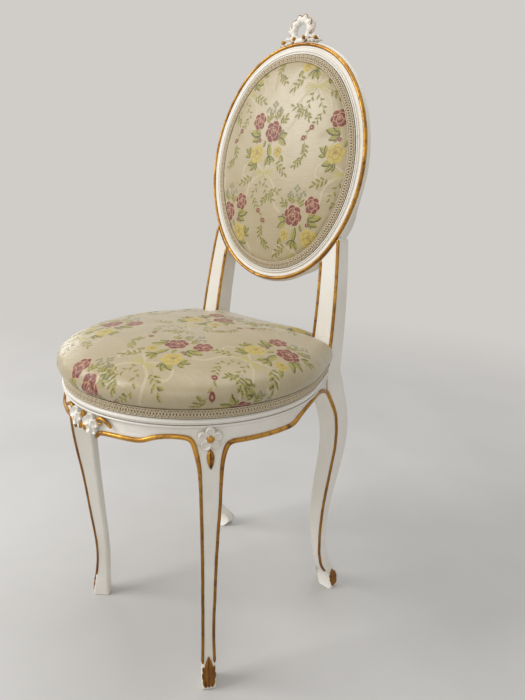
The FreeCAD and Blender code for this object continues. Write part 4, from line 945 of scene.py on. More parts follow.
def blown(shell, held, most):
    """The points of a cloth blown up from inside with its hem held; none moves more than the most."""
    points, faces = outward(shell)
    scene = bpy.context.scene
    item = bpy.data.objects.new("stuffing", mesh_of("stuffing", points, faces))
    scene.collection.objects.link(item)
    group = item.vertex_groups.new(name="held")
    group.add(held.tolist(), 1.0, "REPLACE")
    settings = item.modifiers.new("filling", "CLOTH").settings
    settings.quality = 6
    settings.vertex_group_mass = group.name
    settings.use_pressure = True
    settings.uniform_pressure_force = PRESSURE
    settings.effector_weights.gravity = 0
    settings.tension_stiffness = 40
    settings.compression_stiffness = 40
    for moment in range(1, MOMENTS + 1):
        scene.frame_set(moment)
    move = places(item.evaluated_get(bpy.context.evaluated_depsgraph_get()).data) - points
    scene.frame_set(1)
    bpy.data.objects.remove(item)
    size = np.linalg.norm(move, axis=1, keepdims=True)
    print("Filled; the cloth moved up to", round(float(size.max()) / MM, 1), "mm")
    return points + move * np.minimum(1, most / np.maximum(size, 1e-9))


print("A cover is blown up over", MOMENTS, "moments")

# %% [markdown]
# The simulated grid is coarse, so it is divided afterwards. A smooth curve that blends each four
# neighbours gives it enough points for the pattern, without a facet.

# %% Finer grids
FINER = 4


def fine_count(count):
    """How many points a side of a grid has once it is divided."""
    return (count - 1) * FINER + 1


def finer(grid):
    """A grid in smaller steps, along both ways: a smooth curve blends each four neighbours."""
    for axis in (0, 1):
        lines = np.moveaxis(grid, axis, 0)
        longer = np.concatenate([2 * lines[:1] - lines[1:2], lines, 2 * lines[-1:] - lines[-2:-1]])
        walk = np.arange(fine_count(len(lines))) / FINER
        base = np.minimum(walk.astype(int), len(lines) - 2)
        part = (walk - base).reshape((-1,) + (1,) * (lines.ndim - 1))
        weights = ((1 - part) ** 3, 3 * part ** 3 - 6 * part ** 2 + 4,
                   -3 * part ** 3 + 3 * part ** 2 + 3 * part + 1, part ** 3)
        blend = sum(weight * longer[base + step] for step, weight in enumerate(weights)) / 6
        grid = np.moveaxis(blend, 0, axis)
    return grid


def filled_top(top, rings, kept, most):
    """The grid of a cover, blown up where it isn't kept in place, and then divided."""
    count = len(top)
    shell = closed_sheet(top, count, rings(count))
    held = np.concatenate([np.flatnonzero(kept.ravel()), np.arange(count ** 2, len(shell[0]))])
    filled = blown(shell, held, most)
    return finer(filled[:count ** 2].reshape(count, count, 3))


print("Each step of a cover's grid is divided by", FINER)

# %% [markdown]
# The brocade is a cream silk with bouquets: two red roses, yellow ones below, grey sprigs and
# a ribbon bow with a hanging spray. Every shape is a distance, in millimetres, from its edge. These
# are stored on the points of the cloth, and the material turns each into a crisp edge.

# %% Shapes of the pattern
DEEPEST = 9.0
ROSE_PETALS = ((0.3, 0.57, 0.43), (1.3, 0.55, 0.45), (2.35, 0.56, 0.42), (3.35, 0.58, 0.43),
               (4.3, 0.55, 0.46), (5.35, 0.57, 0.44), (0.9, 0.26, 0.4), (3.1, 0.24, 0.38),
               (5.1, 0.2, 0.36), (1.6, 0.12, 0.24))


def rose(across, up, radius, gap=0.55, heart=0.11):
    """A rose of overlapping petals: how deep inside all of it, and inside a petal but off the rims."""
    body = np.full(across.shape, -DEEPEST)
    red = body
    for turn, out, size in ROSE_PETALS:
        reach = np.hypot(across - out * radius * np.cos(turn), up - out * radius * np.sin(turn))
        inside = size * radius - reach
        body = np.maximum(body, inside)
        red = np.where(inside > 0, inside - gap, np.minimum(red, -inside - gap))
    return body, np.minimum(red, reach - heart * radius)


def blade(across, up, start, angle, length, width):
    """A leaf: how deep inside its lobed outline, and inside its dark vein and the dark rim of one side."""
    along = (across - start[0]) * np.cos(angle) + (up - start[1]) * np.sin(angle)
    aside = (up - start[1]) * np.cos(angle) - (across - start[0]) * np.sin(angle)
    share = np.clip(along / length, 0, 1)
    half = width / 2 * np.sin(np.pi * share ** 0.85) ** 0.7
    lobed = half * (0.84 + 0.16 * np.abs(np.sin(np.pi * (4 * share - 0.4 * np.sign(aside)))))
    body = np.minimum(lobed - np.abs(aside), np.minimum(along, length - along) + 0.5)
    rim = np.minimum(np.minimum(body, 0.2 * width - body), aside)
    vein = np.minimum(body - 0.3, 0.4 - np.abs(aside))
    return body, np.maximum(rim, vein)


def curve(points, share):
    """Places along a bent line drawn from the first of three points to the last."""
    first, middle, last = np.array(points, float)
    share = np.asarray(share, float)[..., None]
    return (1 - share) ** 2 * first + 2 * share * (1 - share) * middle + share ** 2 * last


def thread(across, up, points, width):
    """A band along a bent line: half its width less the distance to the nearest of its steps."""
    gap = np.full(across.shape, 1e3)
    for place in curve(points, np.linspace(0, 1, 26)):
        np.minimum(gap, np.hypot(across - place[0], up - place[1]), out=gap)
    return width / 2 - gap


print("A rose has", len(ROSE_PETALS), "petals")

# %% [markdown]
# One bouquet is drawn in millimetres about its two red roses. Leaves fan out from the flowers, twigs
# carry pairs of small leaves, and two ribbons leave a fanned bow and fall beside the hanging spray.

# %% Drawing of the bouquet
LEAVES = ((-10, -11, 2.97, 26, 10), (-11, -13, 3.58, 20, 8), (-12, -9, 2.45, 16, 7),
          (-12, -14, 4.1, 13, 6), (29, -17, 0.35, 19, 8), (29, -18, -0.55, 20, 8), (31, -15, 0.95, 13, 6),
          (15, -48, 1.75, 24, 8), (10, -46, -1.05, 16, 7), (10, -47, -0.35, 18, 7), (9, -47, -1.75, 14, 6),
          (-27, -41, 2.6, 17, 7), (-27, -42, 1.9, 14, 6), (-28, -43, 3.3, 14, 6), (-16, -52, 3.5, 20, 8),
          (-16, -53, 4.1, 19, 8), (-14, -54, 4.6, 14, 6), (36, -44, -0.9, 13, 6), (2, -20, -1.9, 12, 5))
SPRIGS = ((13, 39), (9, 35), (17, 35), (13, 31), (0, 30), (-3, 26), (5, 27), (25, 29), (21, 25), (29, 25),
          (12, 25), (6, 22))
TWIGS = (((6, 4), (5, 10), (5, 19), 2, 10), ((28, 2), (33, 6), (38, 13), 2, 10),
         ((20, 8), (21, 14), (24, 21), 2, 9), ((22, -55), (36, -58), (49, -71), 3, 10),
         ((-14, -74), (-26, -80), (-43, -88), 3, 10), ((5, -72), (-6, -92), (-14, -106), 2, 8),
         ((-14, -106), (-12, -116), (2, -131), 3, 8), ((2, -131), (8, -142), (14, -147), 1, 7),
         ((14, -147), (6, -160), (10, -172), 3, 9), ((10, -172), (14, -182), (25, -188), 3, 9),
         ((5, -72), (11, -86), (16, -103), 2, 8), ((16, -103), (22, -108), (30, -112), 2, 9),
         ((16, -103), (14, -110), (11, -117), 2, 9), ((18, -100), (28, -104), (41, -99), 2, 9),
         ((-17, -3), (-10, -30), (4, -68), 0, 0), ((16, -23), (14, -46), (5, -68), 0, 0),
         ((15, 0), (16, 16), (13, 38), 0, 0), ((16, 14), (6, 22), (0, 30), 0, 0))
RIBBONS = (((5, -70), (-24, -44), (-40, -62)), ((-40, -62), (-48, -74), (-36, -80)),
           ((5, -70), (30, -46), (48, -62)), ((48, -62), (58, -72), (46, -80)),
           ((3, -74), (-26, -82), (-28, -104)), ((-28, -104), (-30, -122), (-46, -124)),
           ((8, -74), (36, -86), (34, -108)), ((34, -108), (32, -124), (48, -132)))
BOW = np.array([5, -71])
FAN_TURNS = (2.7, 2.95, 3.2, 3.45, 3.7, 3.95, -0.85, -0.6, -0.35, -0.1, 0.15, 0.4)


def bouquet(across, up, put):
    """One bouquet about its two roses, in mm, with its bow and the garlands that hang below."""
    def put_blade(x, y, angle, length, width):
        """One leaf, with its dark vein and rim."""
        body, dark = blade(across, up, (x, y), angle, length, width)
        put("leaf", body)
        put("leaf_dark", dark)

    for x, y, size in ((-17, 10.5, 14.5), (16.5, -7, 17.5)):
        body, petals = rose(across - x, up - y, size)
        put("rose", body)
        put("rose_red", petals)
    for x, y, size in ((-14, -41, 15.5), (31, -38.5, 9.5)):
        body, petals = rose(across - x, up - y, size, 0.5, 0.14)
        put("bloom", body)
        put("bloom_fold", np.minimum(body - 0.4, -petals))
    for x, y, size in ((2, -131.5, 4.3), (14.5, -147, 4.3), (-10.5, -20, 3.4)):
        reach = np.hypot(across - x, up - y)
        put("rose", size - reach)
        put("rose_red", np.minimum(size - 0.3 - reach, reach - 0.3 * size))
    for x, y, angle, length, width in LEAVES:
        put_blade(x, y, angle, length, 1.35 * width)
    for x, y in SPRIGS:
        put("sprig", 2.5 - np.hypot(across - x, up - y))
    for *points, pairs, size in TWIGS:
        put("stem", thread(across, up, points, 1.2))
        shares = np.linspace(0.3, 1, 2 * pairs + 1) if pairs else ()
        for number, share in enumerate(shares):
            place = curve(points, share)
            ahead = np.arctan2(*(place - curve(points, share - 0.05))[::-1])
            lean = 0 if number == 2 * pairs else 0.85 * (-1) ** number
            put_blade(*place, ahead + lean, size, 0.45 * size)
    for turn in FAN_TURNS:
        end = BOW + np.array([23 * np.cos(turn), 17 * np.sin(turn)])
        put("fan", thread(across, up, (BOW, (BOW + end) / 2 + [0, 3], end), 1.5))
    for points in RIBBONS:
        put("ribbon", thread(across, up, points, 4.2))


print("A bouquet has", len(LEAVES), "leaves,", len(TWIGS), "twigs and", len(RIBBONS), "lengths of ribbon")

# %% [markdown]
# A loom repeats the bouquet in rows, with every other row moved across and mirrored. Each entry below
# is where a bouquet lies on the flat cloth, in millimetres, and which way round it is.

# %% Pattern on a cloth
FIELDS = ("ribbon", "fan", "stem", "leaf", "leaf_dark", "bloom", "bloom_fold", "rose", "rose_red", "sprig")
REACH_ACROSS = 66
REACH_UP = 54
REACH_DOWN = 204
FAR_AWAY = 9.0
BACK_BOUQUETS = [(-27 + 152 * i, 56 + 258 * j, 1) for i in (-1, 0, 1, 2) for j in (-1, 0, 1)]
BACK_BOUQUETS += [(66 + 151 * i, -73 + 258 * j, -1) for i in (-2, -1, 0, 1) for j in (0, 1)]
SEAT_BOUQUETS = [(74, -94, -1), (-89, -88, -1), (225, -105, -1), (74, 165, -1), (-89, 170, -1),
                 (-245, -90, -1), (152, 10, 1), (-10, 43, 1), (-172, 20, 1), (10, -220, 1), (-150, -215, 1),
                 (165, -220, 1)]


def draw_pattern(item, flat, bouquets):
    """Store the flat cloth's places and every field of the pattern on the points of a cloth."""
    count = len(item.data.vertices)
    spots = np.full((count, 3), FAR_AWAY, np.float32)
    spots[:flat[..., 0].size, :2] = flat.reshape(-1, 2)
    item.data.attributes.new("flat", "FLOAT_VECTOR", "POINT").data.foreach_set("vector", spots.ravel())
    across, up = spots.T[:2].astype(float) / MM
    fields = {name: np.full(count, -DEEPEST) for name in FIELDS}
    for x, y, way in bouquets:
        beside = np.abs(across - x) < REACH_ACROSS
        near = np.flatnonzero(beside & (up - y < REACH_UP) & (up - y > -REACH_DOWN))

        def put(name, depth):
            """Lay a shape into its field: the deeper of what is there and the new one."""
            fields[name][near] = np.maximum(fields[name][near], depth)

        bouquet((across[near] - x) * way, up[near] - y, put)
    for name, depth in fields.items():
        held_depth = np.clip(depth, -DEEPEST, DEEPEST)
        item.data.attributes.new(name, "FLOAT", "POINT").data.foreach_set("value", held_depth)
    print(item.name, "carries", len(bouquets), "bouquets on", count, "points")


print("The back shows parts of", len(BACK_BOUQUETS), "bouquets, and the seat of", len(SEAT_BOUQUETS))

# %% [markdown]
# Brocade is woven with extra threads that float over the ground to make its figures. The ground here
# is a fine weave with slubs. Each shape lays its colour over what is below it, a little raised and
# less glossy, and a speckle lets the ground show between the floating threads.

# %% Brocade
silk = Finish("brocade_silk", Sheen_Weight=0.25, Sheen_Roughness=0.35, IOR=1.55)
flat_place = silk.add("ShaderNodeAttribute", attribute_name="flat").outputs["Vector"]
warp, weft = [silk.add("ShaderNodeTexWave", {"Vector": flat_place, "Scale": scale, "Distortion": 0.4},
                       bands_direction=axis).outputs["Fac"] for scale, axis in ((480.0, "X"), (360.0, "Y"))]
slubs = silk.add("ShaderNodeMapping", {"Vector": flat_place, "Scale": (40, 700, 1)}).outputs[0]
slub = silk.noise(1, detail=3, place=slubs)
shadow = silk.noise(30, detail=3, place=flat_place)
ground = silk.mix(silk.remap(slub, 0.35, 0.7, 0, 0.5), colour(182, 168, 136), colour(164, 148, 114))
ground = silk.mix(silk.remap(shadow, 0.4, 0.7, 0, 0.3), ground, colour(160, 142, 108))
tints = (("ribbon", colour(190, 177, 147)), ("fan", colour(176, 166, 96)), ("stem", colour(136, 126, 62)),
         ("leaf", colour(156, 147, 62)), ("leaf_dark", colour(74, 72, 28)), ("bloom", colour(190, 168, 84)),
         ("bloom_fold", colour(146, 120, 50)), ("rose", colour(200, 152, 122)),
         ("rose_red", colour(108, 25, 20)), ("sprig", colour(134, 129, 102)))
speckle = silk.remap(silk.noise(420, detail=2, place=flat_place), 0.42, 0.66, 0, 0.32)
figure = ground
raised = 0.0
for name, tint in tints:
    inside = silk.remap(silk.attribute(name), -0.35, 0.35)
    speckled = silk.mix(speckle, tint, ground)
    figure = silk.mix(inside, figure, speckled)
    raised = silk.math("MAXIMUM", inside, raised)
height = silk.math("ADD", silk.math("MULTIPLY", silk.math("MULTIPLY", warp, weft), 0.35), raised)
brocade = silk.shade(Base_Color=figure, Roughness=silk.remap(raised, 0, 1, 0.3, 0.52),
                     Normal=silk.bump(height, 0.0002, 0.6))
print("Made", brocade.name)

# %% [markdown]
# The seat is stretched cloth over stuffing. A square of cloth is mapped onto the seat's plan, drawn
# down over the edge and tucked behind the braid; then cloth simulation blows it up a little, so that
# the surface finds its own even curve. The hem is held, as tacks would hold it.

# %% Seat cushion
SEAT_COUNT = 77
WAIST = 455 * MM
CROWN = 495 * MM
BULGE = 8 * MM
TUCKED = 2.4 * MM
DOME_SHARE = 0.83
CURL_SHARE = 0.72
DROP_SHARE = 0.28
SEAT_STRETCH = 1.03
share, angle = disc_grid(SEAT_COUNT)
rho = np.minimum(share / DOME_SHARE, 1)
tuck = np.clip((share - DOME_SHARE) / (1 - DOME_SHARE), 0, 1)
curl = np.minimum(tuck / CURL_SHARE, 1) * np.pi / 2
drop = np.clip((tuck - CURL_SHARE) / DROP_SHARE, 0, 1)
out = np.where(tuck > 0, -TUCKED + (BULGE + TUCKED) * np.cos(curl) - 0.8 * MM * drop, BULGE)
widest = seat_reach(angle, BULGE, WAIST)
level = np.where(tuck > 0, WAIST - 17 * MM * np.sin(curl) - 11 * MM * drop,
                 WAIST + superdome((1 - rho) * widest, 160 * MM, CROWN - WAIST))
reach = np.where(tuck > 0, seat_reach(angle, out, level), rho * widest)
top = on_seat(reach * np.cos(angle), reach * np.sin(angle), level)


def seat_rings(count):
    """Rings that close the cushion below: behind the braid, up inside the rail and in to the middle."""
    turn = rim_angles(count)
    rings = []
    for inset, height in ((-4.5, 426.5), (-4.5, 441), (-9, 444.5), (-60, 444.5)):
        reach = seat_reach(turn, inset * MM, height * MM)
        rings.append(on_seat(reach * np.cos(turn), reach * np.sin(turn), height * MM))
    return rings


top = filled_top(top, seat_rings, tuck > 0.6, 5 * MM)
flat_reach = np.where(tuck > 0, widest * SEAT_STRETCH + tuck * 34 * MM, rho * widest * SEAT_STRETCH)
flat = finer(np.stack([flat_reach * np.cos(angle), flat_reach * np.sin(angle) - SEAT_SHIFT], -1))
count = fine_count(SEAT_COUNT)
seat_cushion = piece("seat_cushion", [closed_sheet(top, count, seat_rings(count))], brocade,
                     ("seat_cover", "seat_stuffing", "seat_hessian"), crease=180)
draw_pattern(seat_cushion, flat, SEAT_BOUQUETS)

# %% [markdown]
# The back's pad is thinner. It is a dome inside the oval, with a flat hem that lies in the rebate of
# the frame, where the braid covers it.

# %% Back cushion
BACK_COUNT = 73
BRAID_WIDTH = 12 * MM
PAD_EDGE = OVAL_BAND + BRAID_WIDTH
PAD_CROWN = 15.5 * MM
PAD_EDGE_RISE = 2.8 * MM
PAD_SHARE = 0.9
HEM_SHARE = 0.1
PAD_STRETCH = 1.02
share, angle = disc_grid(BACK_COUNT)
rho = np.minimum(share / PAD_SHARE, 1)
flange = np.clip((share - PAD_SHARE) / HEM_SHARE, 0, 1)
edge_x, edge_z = oval(angle, PAD_EDGE + 0.3 * MM - flange * 11 * MM)
edge_size = np.hypot(edge_x, edge_z)
ahead = superdome((1 - rho) * edge_size, 112 * MM, PAD_CROWN - PAD_EDGE_RISE)
ahead += PAD_EDGE_RISE * (1 - flange) - 0.2 * MM
top = on_back(rho * edge_x, -ahead, rho * edge_z)


def pad_rings(count):
    """Rings that close the pad behind: over the edge of the rebate and in to the middle."""
    edge_x, edge_z = oval(rim_angles(count), PAD_EDGE - 10.7 * MM)
    return [on_back(inward * edge_x, behind * MM, inward * edge_z)
            for inward, behind in ((1, 1.2), (0.94, 3.0), (0.5, 3.5))]


top = filled_top(top, pad_rings, share > 0.87, 3 * MM)
flat = finer(np.stack([rho * edge_x * PAD_STRETCH, rho * edge_z * PAD_STRETCH], -1))
count = fine_count(BACK_COUNT)
back_cushion = piece("back_cushion", [closed_sheet(top, count, pad_rings(count))], brocade,
                     ("back_cover", "back_stuffing", "back_hessian"), crease=180)
draw_pattern(back_cushion, flat, BACK_BOUQUETS)

# %% [markdown]
# Behind, the oval is closed by the same brocade, stretched flat and tacked. It is a thin sheet
# with a faint crown, so the area of its cut is that of the oval it covers.

# %% Outside back
OUTSIDE_COUNT = 241
OUTSIDE_INSET = 15.4 * MM
INWARD = (1.0, 0.75, 0.5, 0.25)
share, angle = disc_grid(OUTSIDE_COUNT)
edge_x, edge_z = oval(angle, OUTSIDE_INSET)
behind = 21.6 * MM + 2 * MM * (1 - share ** 2)
top = on_back(share * edge_x, behind, share * edge_z)
hem_x, hem_z = oval(rim_angles(OUTSIDE_COUNT), OUTSIDE_INSET)
under = [on_back(inward * hem_x, (20.5 + 2 * (1 - inward ** 2)) * MM, inward * hem_z) for inward in INWARD]
outside_back = piece("outside_back", [closed_sheet(top, OUTSIDE_COUNT, under)], brocade,
                     ("outside_back_cover",), crease=60)
draw_pattern(outside_back, np.stack([-share * edge_x, share * edge_z], -1), BACK_BOUQUETS)

# %% [markdown]
# A woven braid hides the tacks all round. It is a flat tape with two cords that swing across it in
# opposite waves, one over the other by turns, and a straight cord along each edge.

# %% Braid
plait = Finish("braid_thread", Roughness=0.8, Sheen_Weight=0.2)
twist = plait.noise(900, detail=2)
on_cord = plait.remap(plait.attribute("cord"), 0, 1)
# Painted highlight and shade: the cords are coloured lighter and the tape in the gaps between them darker.
cord_lit_gap_shaded_tone = plait.mix(on_cord, colour(150, 131, 102), colour(206, 191, 162))
thread_tone = plait.mix(plait.remap(twist, 0.4, 0.7, 0, 0.25), cord_lit_gap_shaded_tone, colour(126, 106, 78))
braid_thread = plait.shade(Base_Color=thread_tone, Normal=plait.bump(twist, 0.0002, 0.5))
BRAID_WAVE = 8 * MM


def braid_on(line, side, proud, closed):
    """A plaited braid along a line; side is the way across its face and proud the way off it."""
    lengths = walked(line)
    wave = 2 * np.pi * np.round(lengths[-1] / BRAID_WAVE) / lengths[-1] * lengths
    turn = once_round(8)
    even = np.ones_like(wave)
    cords = [(3.3 * np.sin(wave + phase), 1.6 + 0.6 * np.cos(2 * wave + phase), 0.9)
             for phase in (0, np.pi)]
    cords += [(swing * even, 1.3 * even, 0.8) for swing in (4.8, -4.8)]
    runs = []
    for aside, up, radius in cords:
        path = line + (aside * MM)[:, None] * side + (up * MM)[:, None] * proud
        forward = unit(np.gradient(path, axis=0))
        across = unit(np.cross(forward, proud))
        above = np.cross(across, forward)
        ring = np.cos(turn)[:, None] * across[:, None] + np.sin(turn)[:, None] * above[:, None]
        runs.append(path[:, None] + radius * MM * ring)
    tape_out = np.array([-5.3, 5.3, 5.3, 0, -5.3])[:, None] * MM
    tape_up = np.array([-1.4, -1.4, 0.9, 1.1, 0.9])[:, None] * MM
    runs.append(line[:, None] + tape_out * side[:, None] + tape_up * proud[:, None])
    return [hoop(run[:-1]) if closed else loft(run) for run in runs]


RUNS = 5


def braid_piece(name, shells, replaced):
    """A braid's object. Its points carry 1 on the cords, and 0 on the tape, the last run of each braid."""
    item = piece(name, shells, braid_thread, replaced, crease=60)
    cords = [np.full(len(shell[0]), float(number % RUNS < RUNS - 1)) for number, shell in enumerate(shells)]
    item.data.attributes.new("cord", "FLOAT", "POINT").data.foreach_set("value", np.concatenate(cords))
    return item


print("Made", braid_thread.name)

# %% [markdown]
# One braid runs round the front of the oval and leans outwards over the edge of the pad. Another lies
# flat on the back of it. The seat's braid follows the rails from post to post, and a short length
# closes the gap between the posts behind.

# %% Braid round the cushions
BRAID_LEAN = np.radians(16)
BRAID_LEVEL = 431.3 * MM
BRAID_INSET = 2.2 * MM
POST_GAP = 1 * MM


def oval_braid(inset, behind, way, lean):
    """A braid round the oval, on its front or its back face, leaning outwards."""
    turn = np.linspace(0, 2 * np.pi, 1401)
    across, up = oval(turn, inset)
    out = np.stack([np.cos(turn), np.zeros_like(turn), np.sin(turn)], -1) @ BACK_AXES
    ahead = way * BACK_AXES[1]
    proud = np.cos(lean) * ahead + np.sin(lean) * out
    side = np.cos(lean) * out - np.sin(lean) * ahead
    return braid_on(on_back(across, behind, up), side, proud, True)


braid_piece("back_braid", oval_braid(OVAL_BAND + 6.2 * MM, -1.3 * MM, -1, BRAID_LEAN), ("back_gimp",))
braid_piece("outside_back_braid", oval_braid(21.4 * MM, 22.4 * MM, 1, 0), ("outside_back_gimp",))

seat_line, proud = plan_line(SEAT_RADIUS - BRAID_INSET, BRAID_LEVEL, POST_FRONT - POST_GAP)
rear_x = np.linspace(POST_IN - POST_GAP, -POST_IN + POST_GAP, 220)
rear_line = on_seat(rear_x, REAR_FACE - BRAID_INSET, BRAID_LEVEL)
upward, rear_up = [np.broadcast_to(np.array([0, 0, 1.0]), line.shape) for line in (seat_line, rear_line)]
rear_proud = np.broadcast_to(np.array([0, 1.0, 0]), rear_line.shape)
front_braid = braid_on(seat_line, upward, proud, False)
rear_braid = braid_on(rear_line, rear_up, rear_proud, False)
braid_piece("seat_braid", front_braid + rear_braid, ("seat_gimp",))

# %% [markdown]
# Under the seat, webbing straps carry the stuffing. They are flat strips of cloth, and the two sets
# pass over and under each other: a small wave along each strap does that, up where the other is down.

# %% Straps under the seat
def strap(line, width, thickness, side, up):
    """A flat strip along a line: a thin oblong carried along it."""
    out = np.array([-1, 1, 1, -1]) * width / 2
    rise = np.array([0, 0, 1, 1]) * thickness
    return loft(line[:, None] + out[:, None] * side + rise[:, None] * up)


X, Y, Z = np.eye(3)
CLOTH = 1.2 * MM
STRAP_THICK = CLOTH * 0.8
WEB = 50 * MM
PITCH = 92 * MM
WEB_LEVEL = 441.2 * MM
REAR_END = 135 * MM
SIDE_HALF = np.sqrt((SEAT_RADIUS - 14 * MM) ** 2 - (PITCH + WEB / 2) ** 2)
MIDDLE_HALF = SEAT_RADIUS - 16 * MM
across_straps = []
length_straps = []
strap_area = {"across": 0.0, "lengthwise": 0.0}
for step in (-1, 0, 1):
    half = SIDE_HALF if step else MIDDLE_HALF
    walk = np.linspace(-half, half, 120)
    swing = 0.5 * np.cos(np.pi * walk / PITCH) * (-1) ** step * CLOTH
    across_straps.append(strap(on_seat(walk, step * PITCH, WEB_LEVEL + swing), WEB, STRAP_THICK, Y, Z))
    walk = np.linspace(-half, min(half, REAR_END), 120)
    swing = -0.5 * np.cos(np.pi * walk / PITCH) * (-1) ** step * CLOTH
    length_straps.append(strap(on_seat(step * PITCH, walk, WEB_LEVEL + swing), WEB, STRAP_THICK, X, Z))
    strap_area["across"] += 2 * half * WEB
    strap_area["lengthwise"] += (half + min(half, REAR_END)) * WEB
for name, straps in (("across", across_straps), ("lengthwise", length_straps)):
    item = piece("seat_straps_" + name, straps, jute, ("seat_webbing_" + name,))

# %% [markdown]
# Four narrower straps cross in the oval, two upright and two level, behind the back's stuffing.

# %% Straps in the back
BACK_WEB = 45 * MM
WEB_BEHIND = 6.4 * MM
BACK_PITCH = 90 * MM
back_straps = []
upright_half = 156 * MM
level_half = 128 * MM
for step in (-1, 1):
    place = step * 45 * MM
    walk = np.linspace(-upright_half + 12 * MM, upright_half - 12 * MM, 90)
    swing = 0.6 * np.sin(np.pi * walk / BACK_PITCH) * step * CLOTH
    line = on_back(place, WEB_BEHIND + swing, walk)
    back_straps.append(strap(line, BACK_WEB, STRAP_THICK, BACK_AXES[0], BACK_AXES[1]))
    walk = np.linspace(-level_half + 9 * MM, level_half - 9 * MM, 90)
    swing = -0.6 * np.sin(np.pi * walk / BACK_PITCH) * step * CLOTH
    line = on_back(walk, WEB_BEHIND + swing, place)
    back_straps.append(strap(line, BACK_WEB, STRAP_THICK, BACK_AXES[2], BACK_AXES[1]))
item = piece("back_straps", back_straps, jute, ("back_webbing",))

# %% [markdown]
# A thin cotton lining hides the straps from below and sags a little in the middle. Its outline is
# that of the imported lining, found by rays from the seat's middle.

# %% Lining
def outline_of(node, angles):
    """How far a packed flat piece reaches from the seat's middle by angle: rays cut its edges."""
    first, second = node_edges(node)
    middle = on_seat(0, 0, 0)
    reach = np.zeros_like(angles)
    ways = np.stack([np.cos(angles), np.sin(angles)], -1)
    normal = np.stack([-ways[:, 1], ways[:, 0]], -1)
    a = (first - middle)[:, :2]
    b = (second - middle)[:, :2]
    for number, (way, side) in enumerate(zip(ways, normal)):
        from_a = a @ side
        from_b = b @ side
        crossed = from_a * from_b < 0
        share = from_a[crossed] / (from_a[crossed] - from_b[crossed])
        distance = (a[crossed] + share[:, None] * (b[crossed] - a[crossed])) @ way
        reach[number] = distance.max(initial=0)
    return reach


LINING_COUNT = 41
LINING_TOP = 398.4 * MM
LINING_FOOT = 397.6 * MM
SAG = 4 * MM
LINING_INSET = 0.5 * MM
share, angle = disc_grid(LINING_COUNT)
ray = np.linspace(-np.pi, np.pi, 361)
lining_outline = outline_of("dust_cover", ray)
reach = np.interp(angle, ray, lining_outline) - LINING_INSET
level = LINING_TOP - SAG * (1 - share ** 2)
top = on_seat(share * reach * np.cos(angle), share * reach * np.sin(angle), level)
turn = rim_angles(LINING_COUNT)
reach = np.interp(turn, ray, lining_outline) - LINING_INSET
under = [on_seat(inward * reach * np.cos(turn), inward * reach * np.sin(turn),
                 LINING_FOOT - SAG * (1 - inward ** 2)) for inward in INWARD]
lining_piece = piece("seat_lining", [closed_sheet(top, LINING_COUNT, under)], lining,
                     ("dust_cover",), crease=60)

# %% [markdown]
# The stage is a plain pale floor, so that the colours of the chair show as they are. Away from the
# chair it fades into the backdrop, but only for rays that are seen: the rays that carry light still
# meet a real floor.

# %% Floor
def seen_rays(tree):
    """1 for rays from the camera, off gloss or through glass, 0 for the rays that carry light."""
    rays = tree.nodes.new("ShaderNodeLightPath").outputs
    seen = rays["Is Camera Ray"]
    for kind in ("Is Glossy Ray", "Is Transmission Ray"):
        larger = tree.nodes.new("ShaderNodeMath")
        larger.operation = "MAXIMUM"
        tree.links.new(seen, larger.inputs[0])
        tree.links.new(rays[kind], larger.inputs[1])
        seen = larger.outputs[0]
    return seen


FLOOR = 12.0
FLOOR_LEVEL = -0.0005
corners = [(across * FLOOR, back * FLOOR, FLOOR_LEVEL)
           for across, back in ((-1, -1), (1, -1), (1, 1), (-1, 1))]
floor_mesh = bpy.data.meshes.new("floor")
floor_mesh.from_pydata(corners, [], [(0, 1, 2, 3)])
floor = bpy.data.objects.new("floor", floor_mesh)
bpy.context.scene.collection.objects.link(floor)
BACKDROP = colour(208, 205, 201)
pale = Finish("pale_floor", Roughness=0.7)
grey = pale.mix(pale.remap(pale.noise(3), 0.3, 0.7), colour(206, 204, 201), colour(198, 196, 193))
pale.shade(Base_Color=grey)
away = pale.add("ShaderNodeVectorMath", {0: pale.place}, operation="LENGTH").outputs["Value"]
fade = pale.math("MULTIPLY", pale.remap(away, 0.7, 2.4, smooth=True), seen_rays(pale.tree))
glow = pale.add("ShaderNodeEmission", {"Color": BACKDROP})
faded = pale.add("ShaderNodeMixShader", {0: fade, 1: pale.shader.outputs[0], 2: glow.outputs[0]})
pale.join(faded.outputs[0], pale.tree.nodes["Material Output"].inputs["Surface"])
floor_mesh.materials.append(pale.material)
print("Made", floor.name)

# %% [markdown]
# A large window lamp at the left front gives soft shadows. A small low one brings out the gloss on
# the left, and the ceiling and the fill keep the dark side readable, with a white world all round.

# %% Lights
def soft_light(name, place, aim, size, power):
    """A square lamp at a place, turned to face its aim."""
    lamp = bpy.data.lights.new(name, "AREA")
    lamp.size = size
    lamp.energy = power
    item = bpy.data.objects.new(name, lamp)
    back = unit(np.array(place) - np.array(aim))
    right = unit(np.cross([0, 0, 1.0], back))
    turned = np.eye(4)
    turned[:3, :3] = np.stack([right, np.cross(back, right), back], -1)
    turned[:3, 3] = place
    item.matrix_world = Matrix(turned.tolist())
    bpy.context.scene.collection.objects.link(item)


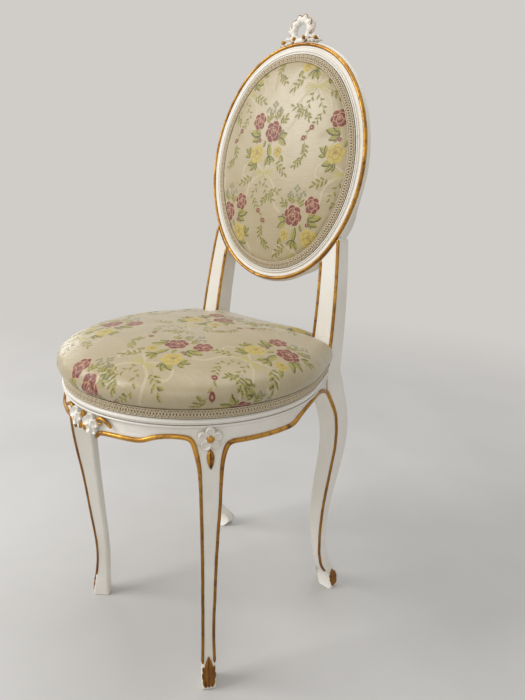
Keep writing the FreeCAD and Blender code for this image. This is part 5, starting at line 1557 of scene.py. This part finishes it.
AIM = (0, 0, 0.5)
soft_light("window", (-1.5, -1.9, 2.1), AIM, 1.4, 55)
soft_light("side_window", (-2.3, 0.4, 0.72), AIM, 0.7, 4)
soft_light("ceiling", (0.1, 0.5, 3.0), AIM, 2.0, 20)
soft_light("fill", (1.7, -1.9, 1.5), AIM, 1.4, 10)
world = bpy.data.worlds.new("studio")
world.use_nodes = True
nodes = world.node_tree.nodes
light = nodes["Background"]
light.inputs["Color"].default_value = (1, 1, 1, 1)
light.inputs["Strength"].default_value = 0.45
seen = nodes.new("ShaderNodeBackground")
seen.inputs["Color"].default_value = BACKDROP
chosen = nodes.new("ShaderNodeMixShader")
links = world.node_tree.links
for socket, source in enumerate((seen_rays(world.node_tree), light.outputs[0], seen.outputs[0])):
    links.new(source, chosen.inputs[socket])
links.new(chosen.outputs[0], nodes["World Output"].inputs["Surface"])
bpy.context.scene.world = world
print("Made four lamps and the world", world.name)

# %% [markdown]
# The camera stands where the chair was seen from: a little above the seat, at its right front. It
# looks down by its pitch and is turned a little about its own axis.

# %% Camera
CAMERA_PLACE = np.array([0.6143, -0.55605, 0.7011])
YAW, PITCH_DOWN, ROLL = np.radians([41.647, 16.668, 1.666])
ahead = np.array([-np.sin(YAW) * np.cos(PITCH_DOWN), np.cos(YAW) * np.cos(PITCH_DOWN),
                  -np.sin(PITCH_DOWN)])
level_right = np.array([np.cos(YAW), np.sin(YAW), 0])
level_up = np.cross(level_right, ahead)
right = np.cos(ROLL) * level_right + np.sin(ROLL) * level_up
up = -np.sin(ROLL) * level_right + np.cos(ROLL) * level_up
pose = np.eye(4)
pose[:3, :3] = np.stack([right, up, -ahead], -1)
pose[:3, 3] = CAMERA_PLACE
camera = bpy.data.cameras.new("camera")
camera.sensor_width = 36
camera.lens = 28.827
camera_item = bpy.data.objects.new("camera", camera)
camera_item.matrix_world = Matrix(pose.tolist())
bpy.context.scene.collection.objects.link(camera_item)
bpy.context.scene.camera = camera_item
bpy.context.scene.view_settings.view_transform = "Standard"
print("The camera stands at", CAMERA_PLACE)
